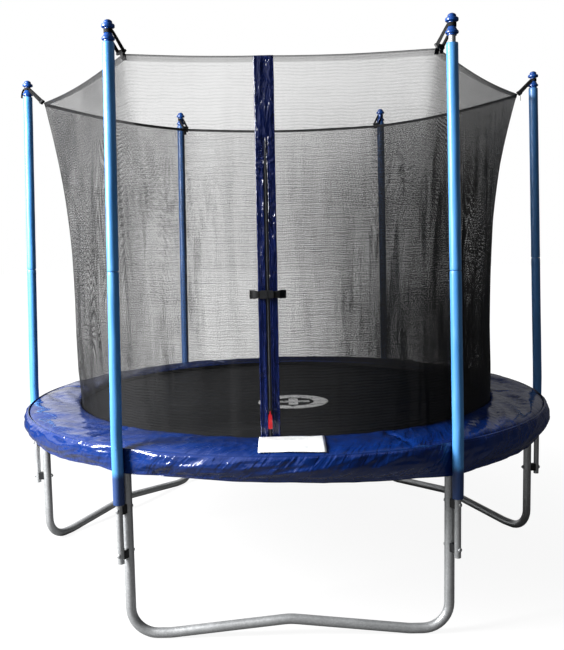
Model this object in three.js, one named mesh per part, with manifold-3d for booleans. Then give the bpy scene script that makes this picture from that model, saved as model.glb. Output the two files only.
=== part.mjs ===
// A round garden trampoline, 2.4 m across, with a net enclosure on six padded poles.
// Millimetres, +Z up, the floor at z = 0, the middle of the frame on the Z axis.
// The zipped door of the net faces -Y, a little to the left of the middle of its side.

import * as THREE from 'three';
import { mergeVertices } from 'three/addons/utils/BufferGeometryUtils.js';
import loadManifold from 'manifold-3d';

const wasm = await loadManifold();
wasm.setup();

// ---------------------------------------------------------------------------
// Driving dimensions
// ---------------------------------------------------------------------------

// Steel frame
const frameRadius = 1200;          // centre line of the top rail
const railHeight = 712;            // centre line of the top rail above the floor
const tubeRadius = 19;             // rails and legs
const tubeWall = 1.5;
const railStraight = 70;           // straight stretch at each end of a rail
const railBends = 6;               // chords in the curved stretch of a rail
const spigotLength = 50;           // reduced tube end that enters the next tube
const spigotRoot = 8;              // length over which a spigot grips its own tube
const socketLength = 40;           // leg socket below the rail
const socketSlack = 3;             // free depth above a post's end in its socket
const legJointHeight = 170;        // where a leg post meets its base

// Leg bases
const footBend = 100;              // bend radius from upright to foot
const footFlat = 50;               // level stretch that stands on the floor
const legRise = 47;                // the middle of a base stands this far off the floor
const easyBend = 250;              // the two gentle bends of a base

// Enclosure poles
const stationCount = 6;
const poleRadius = 12.5;
const poleWall = 1.2;
const poleTail = 15;               // pole below its lower spacer
const poleUpright = 62;            // upright to here above the mat, then drawn in by the net
const poleBend = 4000;
const capTopHeight = 2268;
const sleeveRadius = 21;
const sleeveRest = 5;              // bare pole between the upper spacer and the sleeve
const sleevePlay = 1.5;            // between a sleeve and the pad's skirt

// Bolted spacers between post and pole
const clampHeights = { lower: 340, upper: 510 };
const spacerHeight = 34;
const spacerWidth = 26;
const boltRadius = 3.5;
const boltHeadRadius = 7.5;
const boltHeadHeight = 5;

// Pole caps, upwards from the end of the foam sleeve
const capCollar = { radius: poleRadius + 3, height: 9 };
const capFlange = { radius: sleeveRadius + 2, height: 22 };
const capNeck = { radius: 14, height: 16 };
const capKnob = { radius: sleeveRadius + 2.5, height: 30 };
const capEase = 3;                 // height of the slopes between them
const capGrip = 24;                // length of pole inside the cap

// Straps from the caps to the net
const webbingWidth = 20;
const webbingThickness = 2;
const adjuster = { width: 30, length: 24, thickness: 7 };
const strapReach = 73.4;           // from a corner of the net out to the top of its pole
const strapDrop = 4;               // from the net's top edge to where a strap meets its corner
const strapHold = 36;              // length of strap against the corner
const strapBend = 6;

// Jumping mat, springs and safety pad
const matAboveRail = 16;           // top of the mat above the rail's centre line
const matThickness = 4;
const springCount = 48;
const springDiameter = 12;
const springDrop = 1;              // tops of the springs below the mat's top
const lacingReach = 14.5;          // outer edge of the lacing beyond the net
const padReach = 9;                // inner edge of the pad beyond the net
const padCrownRise = 29;           // pad above the mat, midway across
const padShoulderRise = 25;        // the same beside its inner edge and before the rail
const padOverRail = 14;            // top of the pad above the rail
const padThickness = 15;
const padRound = 12;               // rounding of the inner edge
const padSides = 36;
const padRest = 1;                 // play of the skirt round the rail
const skirtDrop = 57;              // lower edge of the skirt below the rail's centre line
const skirtThickness = 2.5;
const skirtBulge = 9;              // how far the skirt swells between two poles

// Safety net and its door
const netInset = 220;              // from the rail's centre line in to the net
const netBelowCap = 118;           // top edge of the net below the tops of the caps
const netThickness = 2;
const netSides = 36;
const netHem = 60;
const netCurve = 2.4;              // how fast the corners draw in below the poles
const netLevels = 6;
const doorOffset = -62;            // middle of the door from the middle of the net's front side
const doorWidth = 73;
const doorThickness = 2;
const zipAboveMat = 12;
const zipBelowTop = 290;           // end of the zip below the net's top edge
const zipWidth = 6;
const zipDepth = 2.5;
const sliderHeight = 20;
const sliderWidth = 14;
const sliderStart = 102;           // closed slider above the lower end of the zip
const pullLength = 60;
const pullWidth = 18;
const pullThickness = 2.4;
const pullNeck = 8;                // from the pin down to the pull's wide part
const pullCorner = 4;
const sliderFace = 2.5;            // thickness of the slider in front of the teeth
const pinRadius = 1;
const eyeRadius = 2.4;
const eyeWidth = 6;
const cheekWidth = 2;
const cheekHeight = 8;

// Side-release buckle across the door
const buckleAboveMat = 562;
const buckleWidth = 32;            // along the door's height
const buckleDepth = 9;
const buckleStandOff = 0.9;        // free space over the passing zip pull
const socketReach = 30;            // socket body, from the middle of the door
const plugReach = 22;
const tongueLength = 20;
const prongWidth = 5;
const prongPitch = 10;
const buckleWall = 2;
const strapOverhang = 21.5;        // from the door's edge to where each strap meets the net
const strapFall = 14;              // length over which it drops back to the net
const strapSeam = 10;              // length sewn to the net
const strapMargin = 2;             // flat net beyond its end
const buckleStrapWidth = 25;

// Clearances
const gap = 0.3;                   // between pieces that rest on or against each other
const cutOver = 1;                 // how far a cut or a joined end runs past the face it meets
const boltPlay = 0.5;
const slidePlay = 0.5;

// Levels that several pieces share
const matTop = railHeight + matAboveRail;
const lacingTop = matTop - springDrop;
const netBottom = lacingTop + gap;
const netTop = capTopHeight - netBelowCap;
const netRadius = frameRadius - netInset;

// ---------------------------------------------------------------------------
// Shapes and solids
// ---------------------------------------------------------------------------

const tubeSides = 8;
const sector = (2 * Math.PI) / stationCount;

// Corner radius of a regular polygon whose flats touch a circle.
const cornerRadius = (radius, sides) => radius / Math.cos(Math.PI / sides);

function polygon(radius, sides = tubeSides) {
  const corner = cornerRadius(radius, sides);
  return Array.from({ length: sides }, (_, i) => {
    const angle = ((i + 0.5) * 2 * Math.PI) / sides;
    return new THREE.Vector2(corner * Math.cos(angle), corner * Math.sin(angle));
  });
}

function tubeSection(radius, wall) {
  const section = new THREE.Shape(polygon(radius));
  section.holes.push(new THREE.Path(polygon(radius - wall)));
  return section;
}

function outline(points) {
  return new THREE.Shape(points.map(([x, y]) => new THREE.Vector2(x, y)));
}

function rectangle(width, height) {
  return outline([
    [-width / 2, -height / 2],
    [width / 2, -height / 2],
    [width / 2, height / 2],
    [-width / 2, height / 2],
  ]);
}

// A flat path that is given at its stations only, so that straight runs stay one step long.
// The x of a section swept along it keeps to the side direction, square to the path's plane.
class Route extends THREE.Curve {
  constructor(stations, side) {
    super();
    this.stations = stations;
    this.side = side;
  }

  get steps() {
    return this.stations.length - 1;
  }

  getPointAt(u, target = new THREE.Vector3()) {
    return target.copy(this.stations[Math.round(u * this.steps)].point);
  }

  getTangentAt(u, target = new THREE.Vector3()) {
    return target.copy(this.stations[Math.round(u * this.steps)].tangent);
  }

  computeFrenetFrames() {
    const tangents = this.stations.map(({ tangent }) => tangent);
    return {
      tangents,
      normals: tangents.map(() => this.side),
      binormals: tangents.map((tangent) => tangent.clone().cross(this.side)),
    };
  }
}

const acrossY = new THREE.Vector3(0, 1, 0);
const acrossZ = new THREE.Vector3(0, 0, 1);

// A route through corner points, each turned on a bend of its own radius.
function bentRoute(corners, side = acrossY) {
  const at = (i) => corners[i].point;
  const heading = (i) => at(i + 1).clone().sub(at(i)).normalize();
  const last = corners.length - 1;
  const stations = [{ point: at(0), tangent: heading(0) }];
  for (let i = 1; i < last; i += 1) {
    const into = heading(i - 1);
    const turn = into.angleTo(heading(i));
    const inward = heading(i).addScaledVector(into, -Math.cos(turn)).normalize();
    const { bend, steps } = corners[i];
    const start = at(i).clone().addScaledVector(into, -bend * Math.tan(turn / 2));
    for (let step = 0; step <= steps; step += 1) {
      const angle = (turn * step) / steps;
      stations.push({
        point: start
          .clone()
          .addScaledVector(into, bend * Math.sin(angle))
          .addScaledVector(inward, bend * (1 - Math.cos(angle))),
        tangent: into
          .clone()
          .multiplyScalar(Math.cos(angle))
          .addScaledVector(inward, Math.sin(angle)),
      });
    }
  }
  stations.push({ point: at(last), tangent: heading(last - 1) });
  return new Route(stations, side);
}

function swept(section, route) {
  return new THREE.ExtrudeGeometry(section, { steps: route.steps, extrudePath: route });
}

function raised(section, bottom, top) {
  const depth = top - bottom;
  return new THREE.ExtrudeGeometry(section, { depth, bevelEnabled: false }).translate(0, 0, bottom);
}

// A section raised along +X instead of +Z; its own x then points down and its y sideways.
function alongX(section, from, to) {
  return raised(section, from, to).rotateY(Math.PI / 2);
}

// A profile of [radius, height] points turned about the Z axis.
function turned(profile, sides = tubeSides) {
  const points = profile.map(([radius, height]) => (
    new THREE.Vector2(cornerRadius(radius, sides), height)
  ));
  return new THREE.LatheGeometry(points, sides, Math.PI / sides).rotateX(Math.PI / 2);
}

function ringProfile(inner, outer, bottom, top) {
  return [[inner, bottom], [outer, bottom], [outer, top], [inner, top], [inner, bottom]];
}

function box(from, to) {
  const size = to.map((value, axis) => value - from[axis]);
  const middle = to.map((value, axis) => (value + from[axis]) / 2);
  return new THREE.BoxGeometry(...size).translate(...middle);
}

// A closed wall between two stacks of rings, whose points are in step all the way round and up.
function walled(outside, inside) {
  const levels = outside.length;
  const count = outside[0].length;
  const corner = (ring, i) => ring * count + (i % count);
  const index = [];
  const quad = (a, b, c, d) => index.push(a, b, c, a, c, d);
  for (let i = 0; i < count; i += 1) {
    for (let low = 0; low < levels - 1; low += 1) {
      const high = low + 1;
      quad(corner(low, i), corner(low, i + 1), corner(high, i + 1), corner(high, i));
      const [back, above] = [low + levels, high + levels];
      quad(corner(back, i), corner(above, i), corner(above, i + 1), corner(back, i + 1));
    }
    quad(corner(0, i + 1), corner(0, i), corner(levels, i), corner(levels, i + 1));
    const [rim, inner] = [levels - 1, 2 * levels - 1];
    quad(corner(rim, i), corner(rim, i + 1), corner(inner, i + 1), corner(inner, i));
  }
  const places = [...outside, ...inside].flat().flatMap((point) => point.toArray());
  const geometry = new THREE.BufferGeometry();
  geometry.setAttribute('position', new THREE.Float32BufferAttribute(places, 3));
  geometry.setIndex(index);
  return geometry;
}

function solid(geometry) {
  const bare = geometry.clone();
  bare.deleteAttribute('normal');
  bare.deleteAttribute('uv');
  const merged = mergeVertices(bare);
  const corners = merged.index.array;
  const kept = [];
  for (let i = 0; i < corners.length; i += 3) {
    const [a, b, c] = corners.slice(i, i + 3);
    if (a !== b && b !== c && c !== a) kept.push(a, b, c);
  }
  return new wasm.Manifold(new wasm.Mesh({
    numProp: 3,
    vertProperties: new Float32Array(merged.attributes.position.array),
    triVerts: new Uint32Array(kept),
  }));
}

const union = (...geometries) => (
  geometries.map(solid).reduce((whole, piece) => whole.add(piece))
);

function surface(body) {
  const mesh = body.getMesh();
  const geometry = new THREE.BufferGeometry();
  geometry.setAttribute('position', new THREE.BufferAttribute(mesh.vertProperties, 3));
  geometry.setIndex(new THREE.BufferAttribute(mesh.triVerts, 1));
  geometry.computeVertexNormals();
  return geometry;
}

const polar = (radius, angle, height) => (
  new THREE.Vector3(radius * Math.cos(angle), radius * Math.sin(angle), height)
);

// ---------------------------------------------------------------------------
// Materials
// ---------------------------------------------------------------------------

function finish(color, roughness, metalness = 0) {
  return new THREE.MeshStandardMaterial({ color, roughness, metalness });
}

const galvanised = finish(0xa9adb0, 0.4, 0.9);
const foam = finish(0x2f6fc0, 0.35);
const capPlastic = finish(0x12409a, 0.3);
const blackPlastic = finish(0x17181a, 0.45);
const webbing = finish(0x141416, 0.8);
const matCloth = finish(0x1c1d20, 0.75);
const padVinyl = finish(0x16277a, 0.25);
const netMesh = finish(0x2a2b2e, 0.85);
const doorVinyl = finish(0x141d5c, 0.3);
const springSteel = finish(0xb8bcc0, 0.3, 0.95);
const redPlastic = finish(0xc0202a, 0.4);

// ---------------------------------------------------------------------------
// Frame: six rails, six posts and three bases. A station is drawn at angle 0,
// with its post at x = frameRadius, and is turned to its place by its group.
// ---------------------------------------------------------------------------

const straightAngle = Math.asin(railStraight / frameRadius);
const chordAngle = (sector - 2 * straightAngle) / railBends;
const jointAngle = straightAngle + chordAngle;
const boreRadius = tubeRadius - tubeWall;

// The reduced end of a tube, pointing up from z = 0, with its root in its own tube.
function spigot(outer, length = spigotLength) {
  const inner = outer - tubeWall;
  const root = tubeRadius - tubeWall / 2;
  return turned([
    [inner, -spigotRoot], [root, -spigotRoot], [root, 0],
    [outer, 0], [outer, length], [inner, length], [inner, -spigotRoot],
  ]);
}

function railRoute() {
  const start = jointAngle - sector;
  const tangent = (angle) => polar(1, angle + Math.PI / 2, 0);
  const jointRadius = frameRadius * Math.cos(straightAngle);
  const stations = [{
    point: polar(jointRadius, start, railHeight).addScaledVector(tangent(start), gap),
    tangent: tangent(start),
  }];
  for (let i = 0; i <= railBends; i += 1) {
    const angle = start + straightAngle + i * chordAngle;
    stations.push({ point: polar(frameRadius, angle, railHeight), tangent: tangent(angle) });
  }
  stations.push({ point: polar(jointRadius, jointAngle, railHeight), tangent: tangent(jointAngle) });
  return new Route(stations, acrossZ);
}

function topRail() {
  const route = railRoute();
  const bore = solid(swept(new THREE.Shape(polygon(boreRadius)), route));
  const socketTop = railHeight - tubeWall;
  const socket = turned(
    ringProfile(boreRadius, tubeRadius, railHeight - tubeRadius - socketLength, socketTop),
  ).translate(frameRadius, 0, 0);
  const end = route.stations[route.steps];
  const joint = spigot(boreRadius - gap)
    .rotateX(-Math.PI / 2)
    .rotateZ(jointAngle)
    .translate(end.point.x, end.point.y, end.point.z);
  return surface(
    solid(swept(tubeSection(tubeRadius, tubeWall), route))
      .add(solid(socket).subtract(bore))
      .add(solid(joint)),
  );
}

const skirtInner = frameRadius + tubeRadius + padRest;
const skirtOuter = skirtInner + skirtThickness;
const poleX = skirtOuter + sleevePlay + sleeveRadius;
const boltSides = 6;

// A bolt shank or its hole, along the radius through post and pole.
const boltRod = (radius, height) => (
  alongX(
    new THREE.Shape(polygon(radius, boltSides)),
    frameRadius - tubeRadius - boltHeadHeight,
    poleX + poleRadius + boltHeadHeight,
  ).translate(0, 0, height)
);

function drilled(body) {
  return Object.values(clampHeights).reduce(
    (rest, height) => rest.subtract(solid(boltRod(boltRadius + boltPlay, height))),
    body,
  );
}

const postTop = railHeight - tubeRadius - socketLength - gap;

function legPost() {
  const tube = raised(tubeSection(tubeRadius, tubeWall), legJointHeight + gap, postTop);
  const joint = spigot(boreRadius - gap, socketLength - socketSlack).translate(0, 0, postTop);
  return surface(drilled(union(tube, joint).translate([frameRadius, 0, 0])));
}

// A base is drawn in the XZ plane, middle at x = 0, and is turned to its place by its group.
const legSpan = frameRadius * Math.sin(sector / 2);
const legDistance = frameRadius * Math.cos(sector / 2);

function legBase() {
  const low = tubeRadius;
  const footEnd = legSpan - footBend - footFlat;
  const half = [
    { point: new THREE.Vector3(legSpan, 0, legJointHeight) },
    { point: new THREE.Vector3(legSpan, 0, low), bend: footBend, steps: 4 },
    { point: new THREE.Vector3(footEnd, 0, low), bend: easyBend, steps: 1 },
  ];
  const middle = { point: new THREE.Vector3(0, 0, low + legRise), bend: easyBend, steps: 1 };
  const mirrored = half
    .map((corner) => ({ ...corner, point: corner.point.clone().setX(-corner.point.x) }))
    .reverse();
  const tube = swept(tubeSection(tubeRadius, tubeWall), bentRoute([...half, middle, ...mirrored]));
  const roundFit = (boreRadius - gap) * Math.cos(Math.PI / tubeSides);
  const joints = [-legSpan, legSpan].map((x) => spigot(roundFit).translate(x, 0, legJointHeight));
  return surface(union(tube, ...joints));
}

// ---------------------------------------------------------------------------
// Poles with their foam sleeves, caps and bolted spacers
// ---------------------------------------------------------------------------

const poleBottom = clampHeights.lower - spacerHeight / 2 - poleTail;
const sleeveBottom = clampHeights.upper + spacerHeight / 2 + sleeveRest;
const poleLeanStart = matTop + poleUpright;
const poleInset = poleX - netRadius / Math.cos(sector / 2) - strapReach;
const poleLean = Math.atan(poleInset / (capTopHeight - poleLeanStart));
const capHeight = capCollar.height + capFlange.height + capNeck.height + capKnob.height;
const sleeveTop = capTopHeight - capHeight - gap;

const poleAxis = (height) => new THREE.Vector3(
  poleX - Math.max(0, height - poleLeanStart) * Math.tan(poleLean), 0, height,
);

function poleRoute(bottom, top) {
  return bentRoute([
    { point: poleAxis(bottom) },
    { point: poleAxis(poleLeanStart), bend: poleBend, steps: 1 },
    { point: poleAxis(top) },
  ]);
}

function pole() {
  const route = poleRoute(poleBottom, sleeveTop + capGrip - gap);
  return surface(drilled(solid(swept(tubeSection(poleRadius, poleWall), route))));
}

function foamSleeve() {
  const section = tubeSection(sleeveRadius, sleeveRadius - poleRadius - gap);
  return swept(section, poleRoute(sleeveBottom, sleeveTop));
}

// Heights in a cap, from its lower end.
const flangeBottom = capCollar.height;
const neckBottom = flangeBottom + capFlange.height;
const knobBottom = neckBottom + capNeck.height;

// Puts a piece drawn on the Z axis onto the leaning end of the pole.
function onPoleEnd(geometry) {
  return geometry.rotateY(-poleLean).translate(...poleAxis(sleeveTop + gap));
}

function poleCap() {
  const bore = poleRadius + gap;
  const { radius: knob, height: knobHeight } = capKnob;
  return onPoleEnd(turned([
    [0, capGrip], [bore, capGrip], [bore, 0], [capCollar.radius, 0],
    [capCollar.radius, flangeBottom], [capFlange.radius, flangeBottom + capEase],
    [capFlange.radius, neckBottom - capEase], [capNeck.radius, neckBottom],
    [capNeck.radius, knobBottom], [knob, knobBottom + 2 * capEase],
    [knob, knobBottom + 0.6 * knobHeight], [0.6 * knob, capHeight - capEase / 2], [0, capHeight],
  ]));
}

function clamp(height) {
  const low = height - spacerHeight / 2;
  const high = height + spacerHeight / 2;
  const side = spacerWidth / 2;
  const block = box([frameRadius, -side, low], [poleX, side, high]);
  const saddle = (radius, x) => solid(
    raised(new THREE.Shape(polygon(radius + gap)), low - cutOver, high + cutOver).translate(x, 0, 0),
  );
  const spacer = solid(block)
    .subtract(saddle(tubeRadius, frameRadius))
    .subtract(saddle(poleRadius, poleX));
  const nutFace = frameRadius - tubeRadius - gap;
  const headFace = poleX + poleRadius + gap;
  const hexagon = new THREE.Shape(polygon(boltHeadRadius, boltSides));
  const nut = alongX(hexagon, nutFace - boltHeadHeight, nutFace).translate(0, 0, height);
  const head = alongX(hexagon, headFace, headFace + boltHeadHeight).translate(0, 0, height);
  return surface(spacer.add(union(nut, head, boltRod(boltRadius, height))));
}

// ---------------------------------------------------------------------------
// Net: a drum at the mat that opens to six corners at its top
// ---------------------------------------------------------------------------

const netHeights = [
  ...Array.from({ length: netLevels }, (_, i) => (
    netBottom + ((netTop - netHem - netBottom) * i) / (netLevels - 1)
  )),
  netTop,
];

function netRadiusAt(angle, height) {
  const fromSide = ((angle % sector) + sector) % sector - sector / 2;
  const opening = Math.max(0, (height - netBottom) / (netTop - netBottom)) ** netCurve;
  return netRadius * (1 + opening * (1 / Math.cos(fromSide) - 1));
}

// The net is flat behind the door and behind the straps of its buckle.
const doorTurn = Math.asin(doorOffset / netRadius);
const doorFace = netRadius * Math.cos(doorTurn);
const strapEnd = doorWidth / 2 + strapOverhang;
const doorPanel = strapEnd + strapSeam + strapMargin;

// The corners of the net at one height, moved inwards by an inset.
function netOutline(height, inset) {
  const step = (2 * Math.PI) / netSides;
  return Array.from({ length: netSides }, (_, i) => {
    const angle = i * step;
    const fromDoor = angle - 1.5 * Math.PI - doorTurn;
    if (Math.abs(fromDoor) > step) {
      return polar(netRadiusAt(angle, height) - inset, angle, height);
    }
    const x = doorOffset + Math.sign(fromDoor) * doorPanel;
    return new THREE.Vector3(x, inset - doorFace, height);
  });
}

const zipBottom = matTop + zipAboveMat;
const zipTop = netTop - zipBelowTop;

function net() {
  const cloth = walled(
    netHeights.map((height) => netOutline(height, 0)),
    netHeights.map((height) => netOutline(height, netThickness)),
  );
  const slit = box(
    [-zipWidth / 2, -doorFace - cutOver, netBottom - cutOver],
    [zipWidth / 2, -doorFace + netThickness + cutOver, zipTop],
  ).translate(doorOffset, 0, 0);
  return surface(solid(cloth).subtract(solid(slit)));
}

// A webbing loop round a cap's neck, its adjuster, and a tab against the net's corner.
function netStrap() {
  const loop = onPoleEnd(turned(ringProfile(
    capNeck.radius + gap,
    capNeck.radius + gap + webbingThickness,
    neckBottom + gap,
    knobBottom - gap,
  )));
  const [hemBottom, hemTop] = [netTop - netHem, netTop].map((height) => (
    new THREE.Vector3(netRadiusAt(0, height), 0, height)
  ));
  const hem = hemTop.clone().sub(hemBottom).normalize();
  const outward = new THREE.Vector3(hem.z, 0, -hem.x);
  const onCorner = (drop) => hemTop
    .clone()
    .addScaledVector(hem, -drop)
    .addScaledVector(outward, gap + webbingThickness / 2);
  const neckMiddle = poleAxis(sleeveTop + (neckBottom + knobBottom) / 2);
  const fromNeck = (distance) => neckMiddle.clone().setX(neckMiddle.x - distance);
  const start = fromNeck(capFlange.radius + capEase);
  const tape = swept(rectangle(webbingWidth, webbingThickness), bentRoute([
    { point: fromNeck(capNeck.radius + gap + webbingThickness / 2) },
    { point: start, bend: strapBend, steps: 1 },
    { point: onCorner(strapDrop), bend: strapBend, steps: 2 },
    { point: onCorner(strapDrop + strapHold) },
  ]));
  const along = onCorner(strapDrop).sub(start);
  const middle = start.clone().addScaledVector(along, 0.5);
  const slider = new THREE.BoxGeometry(adjuster.thickness, adjuster.width, adjuster.length)
    .rotateY(Math.atan2(along.x, along.z))
    .translate(...middle);
  return surface(union(loop, tape, slider));
}

// ---------------------------------------------------------------------------
// Jumping surface
// ---------------------------------------------------------------------------

function mat() {
  const edge = netOutline(matTop, netThickness + slidePlay);
  return raised(new THREE.Shape(edge), matTop - matThickness, matTop);
}

// All springs, hooked to the lacing that joins the mat's edge to the foot of the net.
function springs() {
  const lacingOuter = netRadius + lacingReach;
  const railFace = frameRadius * Math.cos(chordAngle / 2) - tubeRadius - gap;
  const pitch = (2 * Math.PI) / springCount;
  const half = springDiameter / 2;
  const teeth = [];
  for (let i = 0; i < springCount; i += 1) {
    const angle = i * pitch;
    for (const [radius, side] of [
      [lacingOuter, -half], [railFace, -half], [railFace, half], [lacingOuter, half],
    ]) {
      const turn = angle + Math.atan2(side, radius);
      teeth.push(new THREE.Vector2(radius * Math.cos(turn), radius * Math.sin(turn)));
    }
  }
  const shape = new THREE.Shape(teeth);
  shape.holes.push(new THREE.Path(netOutline(lacingTop, netThickness)));
  return raised(shape, lacingTop - springDiameter, lacingTop);
}

// The padded ring over the springs, with its skirt hanging outside the rail.
function pad() {
  const railTop = railHeight + tubeRadius + gap;
  const padInner = netRadius + padReach;
  const padCrown = matTop + padCrownRise;
  const padShoulder = matTop + padShoulderRise;
  const padEdge = railHeight + tubeRadius + padOverRail;
  const skirtBottom = railHeight - skirtDrop;
  const flat = tubeRadius * Math.tan(Math.PI / tubeSides) + padRest;
  const slope = 70;
  const profile = [
    [padInner, padShoulder - padThickness], [frameRadius - slope, railTop + 3 * padRest],
    [frameRadius + flat, railTop], [skirtInner, railHeight + flat], [skirtInner, skirtBottom],
    [skirtOuter, skirtBottom], [skirtOuter, padEdge - padThickness],
    [frameRadius + flat, padEdge - padRest], [frameRadius - slope / 2, padShoulder],
    [(frameRadius + padInner) / 2, padCrown], [padInner + padRound, padShoulder],
    [padInner, padShoulder - padRound / 2], [padInner, padShoulder - padThickness],
  ];
  const ring = turned(profile, padSides);
  const places = ring.attributes.position;
  for (let i = 0; i < places.count; i += 1) {
    const [x, y, z] = [places.getX(i), places.getY(i), places.getZ(i)];
    const hang = THREE.MathUtils.clamp((padEdge - z) / (padEdge - skirtBottom), 0, 1);
    const reach = Math.hypot(x, y) > frameRadius ? hang : 0;
    const swell = 1 + (skirtBulge * reach * Math.sin(Math.atan2(y, x) * 3) ** 2) / frameRadius;
    places.setXYZ(i, x * swell, y * swell, z);
  }
  return ring;
}

// ---------------------------------------------------------------------------
// Door: a vinyl strip with a zip, the zip's slider and pull, and a buckle. They are drawn
// about x = 0, and a group moves them to the door's place.
// ---------------------------------------------------------------------------

const doorBack = -doorFace - gap;
const doorFront = doorBack - doorThickness;
const toothFront = doorFront - zipDepth;
const sliderBack = doorFront - slidePlay;
const sliderFront = toothFront - slidePlay - sliderFace;
const pinY = sliderFront - eyeRadius - gap;
const sliderBottom = zipBottom + sliderStart;
const pinZ = sliderBottom + sliderHeight / 2;

function doorStrip() {
  const panel = box(
    [-doorWidth / 2, doorFront, netBottom],
    [doorWidth / 2, doorBack, netTop],
  );
  const teeth = box(
    [-zipWidth / 2, toothFront, zipBottom],
    [zipWidth / 2, doorFront + doorThickness / 2, zipTop],
  );
  return surface(union(panel, teeth));
}

function zipSlider() {
  const side = sliderWidth / 2;
  const sliderTop = sliderBottom + sliderHeight;
  const body = box([-side, sliderFront, sliderBottom], [side, sliderBack, sliderTop]);
  const channel = box(
    [-zipWidth / 2 - slidePlay, toothFront - slidePlay, sliderBottom - cutOver],
    [zipWidth / 2 + slidePlay, sliderBack + cutOver, sliderTop + cutOver],
  );
  const inner = eyeWidth / 2 + gap;
  const cheeks = [-1, 1].map((hand) => {
    const middle = hand * (inner + cheekWidth / 2);
    return box(
      [middle - cheekWidth / 2, pinY - pinRadius - gap, pinZ - cheekHeight / 2],
      [middle + cheekWidth / 2, sliderFront + cutOver, pinZ + cheekHeight / 2],
    );
  });
  const pin = alongX(new THREE.Shape(polygon(pinRadius, 6)), -inner - cutOver, inner + cutOver)
    .translate(0, pinY, pinZ);
  return surface(solid(body).subtract(solid(channel)).add(union(...cheeks, pin)));
}

function zipPull() {
  const eye = alongX(new THREE.Shape(polygon(eyeRadius)), -eyeWidth / 2, eyeWidth / 2)
    .translate(0, pinY, pinZ);
  const bore = alongX(new THREE.Shape(polygon(pinRadius + gap, 6)), -eyeWidth, eyeWidth)
    .translate(0, pinY, pinZ);
  const plateTop = pinZ - pullNeck;
  const half = pullThickness / 2;
  const neck = box(
    [-eyeWidth / 2, pinY - half, plateTop - cutOver],
    [eyeWidth / 2, pinY + half, pinZ - pinRadius - gap],
  );
  const side = pullWidth / 2;
  const inset = side - pullCorner;
  const shoulder = pullLength - pullCorner;
  const tag = outline([
    [-inset, 0], [inset, 0], [side, pullCorner], [side, shoulder],
    [inset, pullLength], [-inset, pullLength], [-side, shoulder], [-side, pullCorner],
  ]);
  const plate = raised(tag, -half, half)
    .rotateX(Math.PI / 2)
    .translate(0, pinY, plateTop - pullLength);
  return surface(union(eye, neck, plate).subtract(solid(bore)));
}

const buckleHeight = matTop + buckleAboveMat;
const buckleBack = pinY - eyeRadius - buckleStandOff;
const buckleFront = buckleBack - buckleDepth;

// A strap from the buckle's body back to the net, towards +X or -X.
function buckleStrap(hand, reach) {
  const middleY = (buckleBack + buckleFront) / 2;
  const onNet = doorBack - webbingThickness / 2;
  const at = (x, y) => new THREE.Vector3(hand * x, y, buckleHeight);
  const path = bentRoute([
    { point: at(reach - cutOver, middleY) },
    { point: at(strapEnd - strapFall, middleY), bend: strapBend, steps: 1 },
    { point: at(strapEnd, onNet), bend: strapBend, steps: 1 },
    { point: at(strapEnd + strapSeam, onNet) },
  ], acrossZ);
  return swept(rectangle(buckleStrapWidth, webbingThickness), path);
}

const buckleBox = (from, to) => {
  const half = buckleWidth / 2;
  return box([from, buckleFront, buckleHeight - half], [to, buckleBack, buckleHeight + half]);
};

function buckleSocket() {
  const half = buckleWidth / 2 - buckleWall;
  const cavity = box(
    [-tongueLength - buckleWall, buckleFront + buckleWall, buckleHeight - half],
    [cutOver, buckleBack - buckleWall, buckleHeight + half],
  );
  return surface(
    solid(buckleBox(-socketReach, 0))
      .subtract(solid(cavity))
      .add(solid(buckleStrap(-1, socketReach))),
  );
}

function bucklePlug() {
  const play = buckleWall + slidePlay;
  const prongs = [-prongPitch, 0, prongPitch].map((middle) => box(
    [-tongueLength, buckleFront + play, buckleHeight + middle - prongWidth / 2],
    [plugReach / 2, buckleBack - play, buckleHeight + middle + prongWidth / 2],
  ));
  return surface(union(buckleBox(gap, plugReach), ...prongs, buckleStrap(1, plugReach)));
}

// ---------------------------------------------------------------------------
// Assembly
// ---------------------------------------------------------------------------

const trampoline = new THREE.Group();

function place(parent, name, geometry, material) {
  const mesh = new THREE.Mesh(geometry, material);
  mesh.name = name;
  parent.add(mesh);
}

const stationPieces = [
  ['top_rail', topRail(), galvanised],
  ['leg_post', legPost(), galvanised],
  ['pole', pole(), galvanised],
  ['foam_sleeve', foamSleeve(), foam],
  ['pole_cap', poleCap(), capPlastic],
  ['lower_clamp', clamp(clampHeights.lower), blackPlastic],
  ['upper_clamp', clamp(clampHeights.upper), blackPlastic],
  ['net_strap', netStrap(), webbing],
];

for (let i = 0; i < stationCount; i += 1) {
  const station = new THREE.Group();
  station.rotation.z = i * sector;
  trampoline.add(station);
  for (const [name, geometry, material] of stationPieces) {
    place(station, `${name}_${i + 1}`, geometry, material);
  }
}

const baseGeometry = legBase();
[['right', 30], ['left', 150], ['front', 270]].forEach(([side, degrees]) => {
  const leg = new THREE.Group();
  leg.rotation.z = THREE.MathUtils.degToRad(degrees - 270);
  trampoline.add(leg);
  const mesh = new THREE.Mesh(baseGeometry, galvanised);
  mesh.name = `leg_base_${side}`;
  mesh.position.y = -legDistance;
  leg.add(mesh);
});

place(trampoline, 'mat', mat(), matCloth);
place(trampoline, 'springs', springs(), springSteel);
place(trampoline, 'safety_pad', pad(), padVinyl);
place(trampoline, 'net', net(), netMesh);

const door = new THREE.Group();
door.position.x = doorOffset;
trampoline.add(door);
place(door, 'door_strip', doorStrip(), doorVinyl);
place(door, 'zip_slider', zipSlider(), blackPlastic);
place(door, 'zip_pull', zipPull(), redPlastic);
place(door, 'buckle_socket', buckleSocket(), blackPlastic);
place(door, 'buckle_plug', bucklePlug(), blackPlastic);

export default trampoline;
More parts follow.
